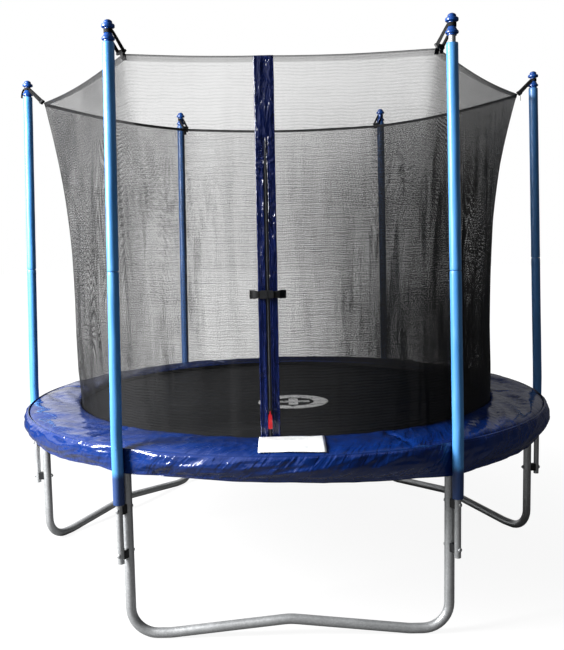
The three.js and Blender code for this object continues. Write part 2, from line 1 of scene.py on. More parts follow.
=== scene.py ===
"""A round garden trampoline with a padded spring cover and a net on six padded poles.

Metres, +Z up, the floor at z = 0, the middle of the frame on the Z axis, the door towards -Y.
"""

import math

import bmesh
import bpy
import numpy as np
from mathutils import Matrix, Vector, noise


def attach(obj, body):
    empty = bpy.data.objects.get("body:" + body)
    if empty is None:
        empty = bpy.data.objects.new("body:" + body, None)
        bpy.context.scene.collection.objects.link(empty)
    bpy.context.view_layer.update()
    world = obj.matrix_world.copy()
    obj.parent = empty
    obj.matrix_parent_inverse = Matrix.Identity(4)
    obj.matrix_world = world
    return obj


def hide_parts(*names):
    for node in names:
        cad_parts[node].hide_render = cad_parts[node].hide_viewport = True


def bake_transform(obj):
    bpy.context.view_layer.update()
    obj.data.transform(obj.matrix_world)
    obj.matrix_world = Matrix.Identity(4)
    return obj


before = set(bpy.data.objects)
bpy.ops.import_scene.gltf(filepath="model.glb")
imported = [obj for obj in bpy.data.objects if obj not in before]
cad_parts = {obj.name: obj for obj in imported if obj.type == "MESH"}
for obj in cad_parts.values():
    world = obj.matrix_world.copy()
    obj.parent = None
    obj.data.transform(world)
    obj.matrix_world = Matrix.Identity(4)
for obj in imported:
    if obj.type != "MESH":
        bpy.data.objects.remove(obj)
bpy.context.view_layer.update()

# ---- Camera, floor and light ----
# The camera stands in front of the door at the height of the net's middle. Floor and
# surroundings are white, a soft lamp stands to the left, faint light comes from all sides.

scene = bpy.context.scene
scene.view_settings.view_transform = "Standard"


def add_object(name, data):
    made = bpy.data.objects.new(name, data)
    scene.collection.objects.link(made)
    return made


yaw, pitch, roll = -0.001, 0.1009, -0.0183
level = Vector((math.cos(yaw), -math.sin(yaw), 0))
ahead = Vector((math.sin(yaw) * math.cos(pitch), math.cos(yaw) * math.cos(pitch), -math.sin(pitch)))
upward = level.cross(ahead)
sideways = math.cos(roll) * level + math.sin(roll) * upward
upright = -math.sin(roll) * level + math.cos(roll) * upward
camera = add_object("camera", bpy.data.cameras.new("camera"))
camera.matrix_world = Matrix.LocRotScale(
    Vector((-0.0089, -4.0137, 1.4816)), Matrix((sideways, upright, -ahead)).transposed(), None
)
camera.data.lens, camera.data.clip_end = 45.47, 100
scene.camera = camera


def operator(operation, swapped=False):
    """A method that adds one Math node for its Value and the other terms."""
    return lambda one, *other: one.nodes.add(
        "ShaderNodeMath",
        dict(enumerate((*other, one) if swapped else (one, *other))),
        operation=operation,
    )[0]


class Value:
    """A node's output that takes part in arithmetic and feeds further nodes."""

    def __init__(self, nodes, socket):
        self.nodes, self.socket = nodes, socket

    __add__ = __radd__ = operator("ADD")
    __sub__, __rsub__ = operator("SUBTRACT"), operator("SUBTRACT", swapped=True)
    __mul__ = __rmul__ = operator("MULTIPLY")
    __truediv__, __rtruediv__ = operator("DIVIDE"), operator("DIVIDE", swapped=True)
    __pow__, __mod__, __abs__ = operator("POWER"), operator("FLOORED_MODULO"), operator("ABSOLUTE")
    __lt__, __gt__ = operator("LESS_THAN"), operator("GREATER_THAN")
    least, most, sine = operator("MINIMUM"), operator("MAXIMUM"), operator("SINE")

    def ramp(self, low, high):
        """0 at low, 1 at high, smooth in between."""
        inputs = {"Value": self, "From Min": low, "From Max": high}
        return self.nodes.add("ShaderNodeMapRange", inputs, interpolation_type="SMOOTHSTEP")[0]

    def noise(self, scale, detail=2.0, rough=0.5, stretch=None):
        """Noise at this place; stretch scales the place along each axis first."""
        place = self
        if stretch:
            place = self.nodes.add("ShaderNodeMapping", {"Vector": self, "Scale": stretch})[0]
        inputs = {"Vector": place, "Scale": scale, "Detail": detail, "Roughness": rough}
        return self.nodes.add("ShaderNodeTexNoise", inputs)[0]

    def split(self):
        parts = self.nodes.add("ShaderNodeSeparateXYZ", {0: self})
        return parts[0], parts[1], parts[2]

    def bump(self, distance, strength):
        """The normal of a surface that has this height on it."""
        inputs = {"Height": self, "Distance": distance, "Strength": strength}
        return self.nodes.add("ShaderNodeBump", inputs)[0]


class Added:
    """A node that has been added; its outputs are Values, by name or place."""

    def __init__(self, nodes, node):
        self.nodes, self.node = nodes, node

    def __getitem__(self, key):
        return Value(self.nodes, self.node.outputs[key])


def tint(code):
    """The colour that a six-digit code names, in linear light."""
    parts = [int(code[i : i + 2], 16) / 255 for i in (0, 2, 4)]
    return (*(c / 12.92 if c <= 0.04045 else ((c + 0.055) / 1.055) ** 2.4 for c in parts), 1)


class Nodes:
    """Adds nodes to one tree, which is emptied first."""

    def __init__(self, tree):
        self.tree = tree
        tree.nodes.clear()

    def add(self, kind, inputs=None, **settings):
        """Adds a node, sets it up, then gives its sockets their values or links."""
        node = self.tree.nodes.new(kind)
        for name, value in settings.items():
            setattr(node, name, value)
        for key, value in (inputs or {}).items():
            if isinstance(value, Value):
                self.tree.links.new(value.socket, node.inputs[key])
            else:
                node.inputs[key].default_value = value
        return Added(self, node)

    def between(self, share, low, high):
        """A colour from low to high, which are six-digit codes or linked colours."""
        low, high = (tint(end) if isinstance(end, str) else end for end in (low, high))
        return self.add("ShaderNodeMix", {0: share, 6: low, 7: high}, data_type="RGBA")[2]


def material(name, inputs):
    """A material; inputs gives the shader's inputs from its Nodes and the place in the piece."""
    made = bpy.data.materials.new(name)
    made.use_nodes = True
    nodes = Nodes(made.node_tree)
    place = nodes.add("ShaderNodeTexCoord")["Object"]
    shader = nodes.add("ShaderNodeBsdfPrincipled", inputs(nodes, place))
    nodes.add("ShaderNodeOutputMaterial", {"Surface": shader[0]})
    return made


WHITE = (1, 1, 1, 1)
world = bpy.data.worlds.new("studio")
world.use_nodes = True
nodes = Nodes(world.node_tree)
ray = nodes.add("ShaderNodeLightPath")
direct, mirrored = ray["Is Camera Ray"], ray["Is Glossy Ray"]
across, deep, height = nodes.add("ShaderNodeTexCoord")["Generated"].split()
# Gloss mirrors a wall of window panes on the left, a paler wall behind and a bright ceiling.
panes = (across * 17.0).sine().ramp(-0.35, 0.35)
wall = (across * -1).ramp(0.02, 0.4) * height.ramp(-0.05, 0.1) * (0.45 + panes * 0.55)
behind = deep.ramp(0.6, 0.9) * across.ramp(0.05, 0.2) * height.ramp(0.0, 0.1)
studio = 0.035 + wall * 1.2 + behind * 0.15 + height.ramp(0.75, 0.95) * 0.3
# The soft light is stronger from the left, from behind, and most of all from low behind.
soft = 0.16 + (across * -1).ramp(-0.6, 0.6) * 0.11 + deep.ramp(0.2, 0.9) * 0.14
soft = soft + (deep + across * 0.3).ramp(0.3, 0.9) * height.ramp(0.7, 0.1)
around = nodes.add("ShaderNodeBackground", {"Color": WHITE, "Strength": soft})
seen = direct + (1 - direct) * studio
shown = nodes.add("ShaderNodeBackground", {"Color": WHITE, "Strength": seen})
sky = nodes.add("ShaderNodeMixShader", {0: direct + mirrored, 1: around[0], 2: shown[0]})
nodes.add("ShaderNodeOutputWorld", {"Surface": sky[0]})
scene.world = world

reach = 40
floor_mesh = bpy.data.meshes.new("floor")
floor_corners = [(-reach, -reach, 0), (reach, -reach, 0), (reach, reach, 0), (-reach, reach, 0)]
floor_mesh.from_pydata(floor_corners, [], [(0, 1, 2, 3)])
floor = add_object("floor", floor_mesh)
floor_paint = bpy.data.materials.new("white floor")
floor_paint.use_nodes = True
nodes = Nodes(floor_paint.node_tree)
direct = nodes.add("ShaderNodeLightPath")["Is Camera Ray"]
spot_x, spot_y, _ = nodes.add("ShaderNodeTexCoord")["Object"].split()
far = ((spot_x * spot_x + spot_y * spot_y) ** 0.5).ramp(1.2, 4.0)
lit = nodes.add("ShaderNodeBsdfDiffuse", {"Color": (0.9, 0.9, 0.9, 1)})
white = nodes.add("ShaderNodeEmission", {"Color": WHITE, "Strength": 1.02 + far * 0.13})
shown = nodes.add("ShaderNodeMixShader", {0: 0.9, 1: lit[0], 2: white[0]})
dull = nodes.add("ShaderNodeBsdfDiffuse", {"Color": (0.13, 0.13, 0.13, 1)})
floor_mix = nodes.add("ShaderNodeMixShader", {0: direct, 1: dull[0], 2: shown[0]})
nodes.add("ShaderNodeOutputMaterial", {"Surface": floor_mix[0]})
floor_mesh.materials.append(floor_paint)

lamp = bpy.data.lights.new("key_lamp", "AREA")
lamp.energy, lamp.size = 740, 1.7
key_lamp = add_object("key_lamp", lamp)
key_lamp.location = (-3.9, -1.9, 2.6)
key_lamp.rotation_mode = "QUATERNION"
lamp_aim = Vector((0.1, -0.2, 1.0)) - key_lamp.location
key_lamp.rotation_quaternion = lamp_aim.to_track_quat("-Z", "Y")

# ---- Leg bases ----
# Three galvanised steel tubes, bent at both ends into a level foot and gently raised in the
# middle. A reduced end of each upright enters the post above it.

STATIONS = 6
SECTOR = 2 * math.pi / STATIONS
FRAME_RADIUS, RAIL_HEIGHT = 1.2, 0.712
TUBE_RADIUS, TUBE_WALL = 0.019, 0.0015
LEG_JOINT = 0.170


def galvanised(nodes, place):
    """Zinc coat: a faint spangle, rolling marks, dull patches and a few scratches."""
    spangle = nodes.add("ShaderNodeTexVoronoi", {"Vector": place, "Scale": 160.0})["Color"]
    grain, _, _ = spangle.split()
    patches = place.noise(9.0, 3.0)
    streaks = place.noise(60.0, stretch=(1.0, 1.0, 0.06))
    scratch = place.noise(420.0, stretch=(1.0, 1.0, 0.1))
    return {
        "Base Color": nodes.between(grain * 0.3 + patches * 0.5, "a2a4a6", "cfd1d2"),
        "Metallic": 0.6,
        "Roughness": 0.30 + grain * 0.05 + patches.ramp(0.45, 0.7) * 0.12 + streaks * 0.08,
        "Normal": (scratch + grain * 0.3).bump(0.0001, 0.3),
    }


steel = material("galvanised steel", galvanised)


def new_tree(name, inputs):
    """A new Geometry Nodes tree; its named inputs are given by their kinds of socket."""
    tree = bpy.data.node_groups.new(name, "GeometryNodeTree")
    for label, kind in {"Geometry": "Geometry", **inputs}.items():
        tree.interface.new_socket(label, in_out="INPUT", socket_type="NodeSocket" + kind)
    tree.interface.new_socket("Geometry", in_out="OUTPUT", socket_type="NodeSocketGeometry")
    nodes = Nodes(tree)
    return nodes, nodes.add("NodeGroupInput")


def end_tree(nodes, geometry, finish=None):
    """Makes instances real and gives every face its material."""
    last = nodes.add("GeometryNodeRealizeInstances", {0: geometry})
    if finish:
        last = nodes.add("GeometryNodeSetMaterial", {"Geometry": last[0], "Material": finish})
    nodes.add("NodeGroupOutput", {0: last[0]})


def modified(mesh, *steps, grow=None, **inputs):
    """The plain mesh that modifiers make: a tree with its inputs, then kinds with settings."""
    carrier = add_object("work", mesh)
    if grow:
        modifier = carrier.modifiers.new("grow", "NODES")
        modifier.node_group = grow.tree
        for item in grow.tree.interface.items_tree:
            if item.in_out == "INPUT" and item.name in inputs:
                modifier[item.identifier] = inputs[item.name]
    for kind, settings in steps:
        modifier = carrier.modifiers.new(kind, kind)
        for key, value in settings.items():
            setattr(modifier, key, value)
    made = bpy.data.meshes.new_from_object(
        carrier.evaluated_get(bpy.context.evaluated_depsgraph_get())
    )
    bpy.data.objects.remove(carrier)
    return made


def wall_step(thickness, offset=0.0, **more):
    """A modifier that gives a sheet its thickness: offset 0 to both sides, -1 backwards."""
    return "SOLIDIFY", {"thickness": thickness, "offset": offset, **more}


tube_nodes, given = new_tree(
    "round bar along a path",
    {"Radius": "Float", "Sides": "Int", "Ends": "Bool", "Finish": "Material"},
)
path = tube_nodes.add("GeometryNodeMeshToCurve", {0: given["Geometry"]})
section = tube_nodes.add(
    "GeometryNodeCurvePrimitiveCircle", {"Resolution": given["Sides"], "Radius": given["Radius"]}
)
bar = tube_nodes.add(
    "GeometryNodeCurveToMesh",
    {"Curve": path[0], "Profile Curve": section[0], "Fill Caps": given["Ends"]},
)
bar = tube_nodes.add("GeometryNodeSetShadeSmooth", {0: bar[0]})
end_tree(tube_nodes, bar[0], given["Finish"])


def polyline(points, closed=False):
    """A mesh of edges from point to point."""
    mesh = bpy.data.meshes.new("path")
    edges = [(i, (i + 1) % len(points)) for i in range(len(points) - (not closed))]
    mesh.from_pydata([tuple(p) for p in points], edges, [])
    return mesh


def bar_along(points, radius, finish, sides=24, closed=False, wall=None):
    """A bar, or with a wall a tube with open ends, along a path."""
    mesh = modified(
        polyline(points, closed),
        *([wall_step(wall, -1.0)] if wall else []),
        grow=tube_nodes,
        Radius=radius,
        Sides=sides,
        Ends=not (closed or wall),
        Finish=finish,
    )
    mesh.set_sharp_from_angle(angle=math.radians(50))
    return mesh


def bent(corners, steps=10):
    """A path through corners, each given as a point and the radius of its bend."""
    spots = [Vector(point) for point, _ in corners]
    points = [spots[0]]
    for before, corner, after, (_, radius) in zip(spots, spots[1:], spots[2:], corners[1:]):
        into, out = (corner - before).normalized(), (after - corner).normalized()
        turn = into.angle(out)
        inward = (out - into * math.cos(turn)).normalized()
        start = corner - into * radius * math.tan(turn / 2)
        for angle in np.linspace(0, turn, steps + 1):
            run, rise = radius * math.sin(angle), radius * (1 - math.cos(angle))
            points.append(start + into * run + inward * rise)
    return [*points, spots[-1]]


def piece(name, mesh, body, slot, *stands_for):
    """A finished piece that stands for CAD nodes and hides them. It rides on a body; with two
    places instead of a body it stays fixed where it is made."""
    made = add_object(name, mesh)
    if isinstance(body, str):
        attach(made, body)
    else:
        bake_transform(made)
    if stands_for:
        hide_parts(*stands_for)
    return made


def turned_to(mesh, angle):
    """A copy of a mesh, turned about the Z axis."""
    copy = mesh.copy()
    copy.transform(Matrix.Rotation(angle, 4, "Z"))
    return copy


def at_stations(name, mesh, slot, node):
    """Six pieces on the fixed frame. mesh is one mesh for all, or makes a station's mesh."""
    pieces = []
    for i in range(STATIONS):
        own = turned_to(mesh(i) if callable(mesh) else mesh, i * SECTOR)
        pieces.append(piece(f"{name}_{i + 1}", own, "root", slot, f"{node}_{i + 1}"))
    return pieces


leg_span, leg_distance = FRAME_RADIUS * math.sin(SECTOR / 2), FRAME_RADIUS * math.cos(SECTOR / 2)
half_base = [
    ((leg_span, -leg_distance, LEG_JOINT), 0),
    ((leg_span, -leg_distance, TUBE_RADIUS), 0.1),
    ((0.45, -leg_distance, TUBE_RADIUS), 0.25),
]
raised_middle = ((0, -leg_distance, TUBE_RADIUS + 0.047), 0.25)
other_half = [((-x, y, z), bend) for (x, y, z), bend in reversed(half_base)]
base_path = bent([*half_base, raised_middle, *other_half])
base_tube = bar_along(base_path, TUBE_RADIUS, steel, sides=32, wall=TUBE_WALL)
for side, degrees in (("right", 120), ("left", 240), ("front", 0)):
    base = turned_to(base_tube, math.radians(degrees))
    piece("leg_base_tube_" + side, base, "root", "galvanised_steel", "leg_base_" + side)

# ---- Leg posts ----
# Six straight galvanised tubes, each with a swaged lower lip that closes on its base. The upper
# end sits in a socket of the top rail.


def turns(count):
    """Angles that share a full turn out."""
    return [2 * math.pi * k / count for k in range(count)]


def ringed(rings, closed_up=False):
    """A mesh through rings of equal length, one after another."""
    count, total = len(rings[0]), len(rings)
    faces = []
    for row in range(total if closed_up else total - 1):
        here, above = row * count, (row + 1) % total * count
        for i in range(count):
            j = (i + 1) % count
            faces.append((here + i, here + j, above + j, above + i))
    mesh = bpy.data.meshes.new("rings")
    mesh.from_pydata([p for ring in rings for p in ring], [], faces)
    return mesh


def closed_mesh(mesh, finish, place=None, sharp=35):
    """Merges doubled points, turns the faces outwards and shades them smooth."""
    work = bmesh.new()
    work.from_mesh(mesh)
    bmesh.ops.remove_doubles(work, verts=work.verts, dist=1e-6)
    bmesh.ops.recalc_face_normals(work, faces=work.faces)
    if place:
        bmesh.ops.transform(work, matrix=place, verts=work.verts)
    work.to_mesh(mesh)
    work.free()
    mesh.shade_smooth()
    mesh.set_sharp_from_angle(angle=math.radians(sharp))
    mesh.materials.clear()
    mesh.materials.append(finish)
    return mesh


def lathe(profile, finish, sides=40, place=None, sharp=35):
    """A profile of (radius, height) points turned about Z, then put in its place."""
    rings = [[(r * math.cos(a), r * math.sin(a), z) for a in turns(sides)] for r, z in profile]
    return closed_mesh(ringed(rings), finish, place, sharp)


def joined(*meshes):
    """One mesh out of several, each with its finishes."""
    work, finishes = bmesh.new(), []
    for mesh in meshes:
        first = len(work.faces)
        work.from_mesh(mesh)
        work.faces.ensure_lookup_table()
        for face in work.faces[first:]:
            used = mesh.materials[face.material_index]
            if used not in finishes:
                finishes.append(used)
            face.material_index = finishes.index(used)
    made = bpy.data.meshes.new("joined")
    work.to_mesh(made)
    work.free()
    for used in finishes:
        made.materials.append(used)
    return made


INSIDE = TUBE_RADIUS - TUBE_WALL
post_foot, post_top = LEG_JOINT + 0.0004, RAIL_HEIGHT - TUBE_RADIUS - 0.0403
swaged, swaged_inside = TUBE_RADIUS - 0.002, TUBE_RADIUS - 0.0035
post_profile = [
    (INSIDE, post_foot), (TUBE_RADIUS - 0.0003, post_foot),
    (TUBE_RADIUS + 0.0002, LEG_JOINT + 0.001), (TUBE_RADIUS + 0.0002, LEG_JOINT + 0.007),
    (TUBE_RADIUS, LEG_JOINT + 0.009), (TUBE_RADIUS, post_top), (swaged, post_top + 0.0005),
    (swaged, post_top + 0.03), (swaged_inside, post_top + 0.03), (swaged_inside, post_foot),
    (INSIDE, post_foot),
]
on_frame = Matrix.Translation((FRAME_RADIUS, 0, 0))
post = lathe(post_profile, steel, 32, on_frame, 30)
at_stations("leg_post_tube", post, "galvanised_steel", "leg_post")

# ---- Top rails ----
# Six tubes rolled to a sixth of a circle each, with a leg socket welded below one end. They
# plug into each other and carry the outer hooks of the springs in a row of slots.

STRAIGHT_ANGLE = math.asin(0.070 / FRAME_RADIUS)


def on_circle(radius, angle, height):
    return Vector((radius * math.cos(angle), radius * math.sin(angle), height))


# The bent stretch is an arc; the straight ends reach past the leg's socket.
bend = SECTOR - 2 * STRAIGHT_ANGLE
rail_end = STRAIGHT_ANGLE + bend / 6
rail_start = rail_end - SECTOR
end_radius = FRAME_RADIUS * math.cos(STRAIGHT_ANGLE)
rail_path = [on_circle(end_radius, rail_start, RAIL_HEIGHT)]
for k in range(37):
    rail_angle = rail_start + STRAIGHT_ANGLE + bend * k / 36
    rail_path.append(on_circle(FRAME_RADIUS, rail_angle, RAIL_HEIGHT))
rail_path.append(on_circle(end_radius, rail_end, RAIL_HEIGHT))
rail_tube = bar_along(rail_path, TUBE_RADIUS, steel, wall=TUBE_WALL)
socket_low, socket_high = RAIL_HEIGHT - TUBE_RADIUS - 0.04, RAIL_HEIGHT - 0.004
socket_profile = [
    (INSIDE, socket_low), (TUBE_RADIUS, socket_low), (TUBE_RADIUS, socket_high),
    (INSIDE, socket_high), (INSIDE, socket_low),
]
leg_socket = lathe(socket_profile, steel, 32, on_frame, 30)


def weld_metal(nodes, place):
    """A weld run: ripples across a bead that has gone dark and is painted with zinc."""
    ripples = place.noise(420.0, 3.0)
    return {
        "Base Color": nodes.between(ripples, "56585a", "9a9da0"),
        "Metallic": 0.8,
        "Roughness": 0.35 + ripples * 0.3,
        "Normal": ripples.bump(0.0008, 0.8),
    }


weld_line = []
for angle in turns(64):
    x, y = TUBE_RADIUS * math.cos(angle), TUBE_RADIUS * math.sin(angle)
    drop = math.sqrt(max(TUBE_RADIUS**2 - x**2, 0))
    weld_line.append((FRAME_RADIUS + x, y, RAIL_HEIGHT - drop))
weld = bar_along(weld_line, 0.0019, material("weld bead", weld_metal), sides=8, closed=True)
rail = joined(rail_tube, leg_socket, weld)
at_stations("top_rail_tube", rail, "galvanised_steel", "top_rail")

# ---- Poles ----
# Each enclosure pole is a slim galvanised tube, bolted upright outside its leg and drawn
# inwards above the pad by the tension of the net.

POLE_RADIUS, POLE_X = 0.0125, 1.245
POLE_BOTTOM, POLE_TOP, LEAN_START, CAP_TOP = 0.308, 2.2144, 0.790, 2.268
POLE_LEAN = math.atan(0.03999 / (CAP_TOP - LEAN_START))


def pole_axis(height):
    return Vector((POLE_X - max(0.0, height - LEAN_START) * math.tan(POLE_LEAN), 0, height))


pole_corners = [(pole_axis(POLE_BOTTOM), 0), (pole_axis(LEAN_START), 4.0), (pole_axis(POLE_TOP), 0)]
pole_tube = bar_along(bent(pole_corners, 4), POLE_RADIUS, steel, sides=28, wall=0.0012)
at_stations("pole_tube", pole_tube, "galvanised_steel", "pole")

# ---- Spacers and bolts ----
# A moulded black spacer, hollowed on both sides like a half moon, sits between leg and pole at
# two heights. A domed bolt goes through all three and ends in a nut inside the ring of legs.

CLAMP_HEIGHTS = {"lower": 0.340, "upper": 0.510}
SPACER_HEIGHT, SPACER_WIDTH = 0.034, 0.026


def moulded(name, low_colour, high_colour, rough, grain):
    """Injection-moulded plastic with a fine eroded grain and a few flow marks."""

    def inputs(nodes, place):
        fine, flow = place.noise(grain, 3.0), place.noise(35.0)
        return {
            "Base Color": nodes.between(flow, low_colour, high_colour),
            "Roughness": rough + flow * 0.12 + fine * 0.08,
            "Normal": fine.bump(0.0002, 0.4),
        }

    return material(name, inputs)


black_plastic = moulded("black moulded plastic", "101113", "1d1e21", 0.34, 900.0)


def prism(outline, low, high, finish, bevel=0.001, place=None):
    """A flat outline raised from low to high, with bevelled edges."""
    work = bmesh.new()
    base = work.faces.new([work.verts.new((x, y, low)) for x, y in outline])
    raised = bmesh.ops.extrude_face_region(work, geom=[base])
    moved = [v for v in raised["geom"] if isinstance(v, bmesh.types.BMVert)]
    bmesh.ops.translate(work, verts=moved, vec=(0, 0, high - low))
    bmesh.ops.recalc_face_normals(work, faces=work.faces)
    sharp = [e for e in work.edges if e.calc_face_angle(0) > math.radians(25)]
    bmesh.ops.bevel(
        work, geom=sharp, offset=bevel, segments=2, affect="EDGES", clamp_overlap=True
    )
    if place:
        bmesh.ops.transform(work, matrix=place, verts=work.verts)
    made = bpy.data.meshes.new("prism")
    work.to_mesh(made)
    work.free()
    made.shade_smooth()
    made.set_sharp_from_angle(angle=math.radians(32))
    made.materials.append(finish)
    return made


def hollow_side(centre, radius, towards, half_width):
    """The points of a hollow that fits a tube, from one side of the spacer to the other."""
    limit = math.asin(min(half_width / radius, 0.98))
    return [
        (centre + towards * radius * math.cos(a), radius * math.sin(a))
        for a in np.linspace(-limit, limit, 11)
    ]


inner_side = hollow_side(FRAME_RADIUS, TUBE_RADIUS + 0.0003, 1, SPACER_WIDTH / 2)
outer_side = hollow_side(POLE_X, POLE_RADIUS + 0.0003, -1, SPACER_WIDTH / 2 * 0.94)
spacer_outline = [*inner_side, *reversed(outer_side)]
NUT_SIZE = 0.0073 / math.cos(math.pi / 6)
hexagon = [(NUT_SIZE * math.cos(a), NUT_SIZE * math.sin(a)) for a in turns(6)]
quarter = np.linspace(0, math.pi / 2, 9)[:-1]
dome = [(0.0085 * math.cos(a), 0.0052 * math.sin(a) + 0.0004) for a in quarter]
dome = [(0, 0), *dome, (0, 0.0056)]
washer_profile = [(0, -0.0012), (0.0088, -0.0012), (0.0088, 0), (0, 0)]
shank_profile = [(0, -0.0095), (0.0028, -0.0095), (0.0035, -0.0088), (0.0035, 0)]


def clamp_mesh(height):
    """Spacer, domed head outside, and washer, nut and shank end inside, at one height."""
    lying = Matrix.Rotation(math.pi / 2, 4, "Y")
    head_face = Matrix.Translation((POLE_X + POLE_RADIUS + 0.0002, 0, height)) @ lying
    nut_face = Matrix.Translation((FRAME_RADIUS - TUBE_RADIUS - 0.0002, 0, height)) @ lying
    low, high = height - SPACER_HEIGHT / 2, height + SPACER_HEIGHT / 2
    return joined(
        prism(spacer_outline, low, high, black_plastic, 0.0012),
        lathe(dome, steel, 28, head_face),
        lathe(washer_profile, steel, 28, nut_face),
        prism(hexagon, -0.0062, -0.0012, steel, 0.0006, nut_face),
        lathe(shank_profile, steel, 16, nut_face),
    )


for level_name, height in CLAMP_HEIGHTS.items():
    at_stations(
        level_name + "_spacer", clamp_mesh(height), "black_plastic", level_name + "_clamp"
    )

# ---- Foam sleeves ----
# Each pole is covered by two tubes of foam, one above the other, in shrunk skins of glossy blue
# film. The skin is welded along the side that faces the net and tucked in at the ends.

SLEEVE_RADIUS, SLEEVE_BOTTOM, SLEEVE_TOP = 0.021, 0.532, 2.1907
SLEEVE_JOINTS = (1.382, 1.372, 1.381, 1.370, 1.386, 1.368)


def film(nodes, place):
    """Glossy blue film: fine wrinkles along and around the foam, a little dust low down. Its
    colour has painted shade: darker at the back and on the right, with a painted shadow below the
    pad."""
    aside, deep, height = place.split()
    along = place.noise(34.0, 3.0, stretch=(1.0, 1.0, 0.16))
    rings = place.noise(46.0, stretch=(0.5, 0.5, 2.6))
    tone, crease = place.noise(3.0), along.ramp(0.45, 0.6)
    dust = (height + tone * 0.5).ramp(1.3, 0.6)
    bright = nodes.between(tone * 0.5 + crease * 0.25, "3b80c0", "5499d8")
    # Painted shade: the colour darkens towards the back, on the pole to the right, and below the
    # pad, where it paints the pad's shadow.
    dark = deep.ramp(0.3, 0.9) * 0.8 + aside.ramp(1.05, 1.15) * 0.45
    dark = dark + height.ramp(0.66, 0.63) * 0.95
    relief = along * 0.6 + rings * 0.5 + place.noise(260.0) * 0.05
    return {
        "Base Color": nodes.between(dark, bright, "1b3468"),
        "Roughness": 0.42 + crease * 0.06 + dust * 0.1,
        "Coat Weight": 0.12,
        "Coat Roughness": 0.2,
        "Normal": relief.bump(0.0016, 0.3),
    }


blue_film = material("glossy blue film", film)


def sleeve_mesh(station):
    """Rings round the pole's axis, slightly uneven as film over foam is."""
    # One sleeve has crept down and shows a little bare tube below its cap.
    top = SLEEVE_TOP - (0.024 if station == 5 else 0.0)
    joint, full, sides = SLEEVE_JOINTS[station], SLEEVE_RADIUS, 44
    rim = [
        (0, POLE_RADIUS + 0.0004), (0, full - 0.0036),
        (0.0007, full - 0.0008), (0.0035, full - 0.0002),
    ]
    steps = []
    for start, end in ((SLEEVE_BOTTOM, joint - 0.0006), (joint + 0.0006, top)):
        steps += [(start + z, r) for z, r in rim] + [(start + 0.008, full)]
        steps += [(z, full) for z in np.arange(start + 0.014, end - 0.009, 0.009)]
        steps += [(end - z, r) for z, r in reversed(rim)]
    rings = []
    for height, radius in steps:
        ring = []
        for k, angle in enumerate(turns(sides)):
            east, north = math.cos(angle), math.sin(angle)
            spot = Vector((east * 1.3, north * 1.3, height * 9 + station * 7))
            swell = 0.0006 * noise.noise(spot) if radius == full else 0
            ridge = 0.0009 if k == sides // 2 and radius >= full - 0.001 else 0
            out = radius + swell + ridge
            ring.append(pole_axis(height) + Vector((out * east, out * north, 0)))
        rings.append(ring)
    return closed_mesh(ringed(rings, closed_up=True), blue_film, sharp=60)


for sleeve in at_stations("sleeve", sleeve_mesh, "sleeve_foam", "foam_sleeve"):
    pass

# ---- Pole caps ----
# A deep blue moulded cap closes each pole: a collar and flange on the foam, a neck that holds
# the net's strap, and a round knob. It is pressed into the tube.

CAP_BOTTOM = CAP_TOP - 0.077
NECK_RADIUS = 0.014
cap_plastic = moulded("blue cap plastic", "0b3474", "154a94", 0.18, 700.0)


def rounded(x, z, radius, start, end, steps=6):
    """Points of an arc about (x, z), from one angle in degrees to another."""
    return [
        (x + radius * math.cos(a), z + radius * math.sin(a))
        for a in np.radians(np.linspace(start, end, steps + 1))
    ]


cap_profile = [
    (POLE_RADIUS + 0.0002, 0.004), (POLE_RADIUS + 0.0002, 0), (0.0160, 0), (0.0165, 0.0006),
    (0.0165, 0.0060), *rounded(0.0210, 0.0090, 0.0022, -90, 0),
    *rounded(0.0210, 0.0130, 0.0022, 0, 60), (0.0180, 0.0195), (0.0150, 0.0265),
    *rounded(0.0160, 0.0312, 0.0025, 205, 180, 3), (0.0130, 0.0440), (0.0136, 0.0468),
    (0.0190, 0.0488), *rounded(0.0205, 0.0518, 0.0030, -80, 0, 5),
    *rounded(0.0205, 0.0575, 0.0030, 0, 75, 5), (0.0175, 0.0618), (0.0160, 0.0628),
    *rounded(0.0070, 0.0665, 0.0085, -8, 60), (0.0070, 0.0762), (0.0, 0.0770),
]
cap_place = Matrix.Translation(pole_axis(CAP_BOTTOM)) @ Matrix.Rotation(-POLE_LEAN, 4, "Y")
at_stations("cap", lathe(cap_profile, cap_plastic, 48, cap_place, 40), "cap_plastic", "pole_cap")

# ---- Jumping mat ----
# A disc of black woven polypropylene, sewn from two widths, with a double webbing band round
# the edge. Steel rings in sewn loops take the springs.

MAT_TOP, MAT_RADIUS = 0.728, 0.9755
SPRINGS = 48
PITCH = 2 * math.pi / SPRINGS


def woven_mat(nodes, place):
    """Flat plastic yarn in plain weave, a printed ring in the middle, dust and scuffs."""
    x, y, _ = place.split()
    yarn = 2 * math.pi / 0.0034
    weave = (x * yarn).sine() * (y * yarn).sine()
    tone = place.noise(2.2, 3.0)
    scuffs = place.noise(16.0, 5.0, 0.7).ramp(0.52, 0.75)
    mark_x, mark_y = x - 0.034, y + 0.165
    from_mark = (mark_x * mark_x + mark_y * mark_y) ** 0.5
    ring = 1 - abs(from_mark - 0.132).ramp(0.033, 0.035)
    arm = (1 - abs(mark_x).least(abs(mark_y)).ramp(0.021, 0.023)) * (from_mark < 0.078)
    mark = ring.most(arm) * (1 - place.noise(34.0, 5.0, 0.65).ramp(0.60, 0.66))
    cloth = nodes.between(tone * 0.5 + scuffs * 0.4 + weave * 0.08, "1e1f20", "3c3c3e")
    return {
        "Base Color": nodes.between(mark * 0.95, cloth, "d8d8d8"),
        "Roughness": 0.55 + tone * 0.16 + mark * 0.1,
        "Specular IOR Level": 0.1,
        "Normal": (weave * 0.5 + tone * 1.5).bump(0.0006, 0.5),
    }


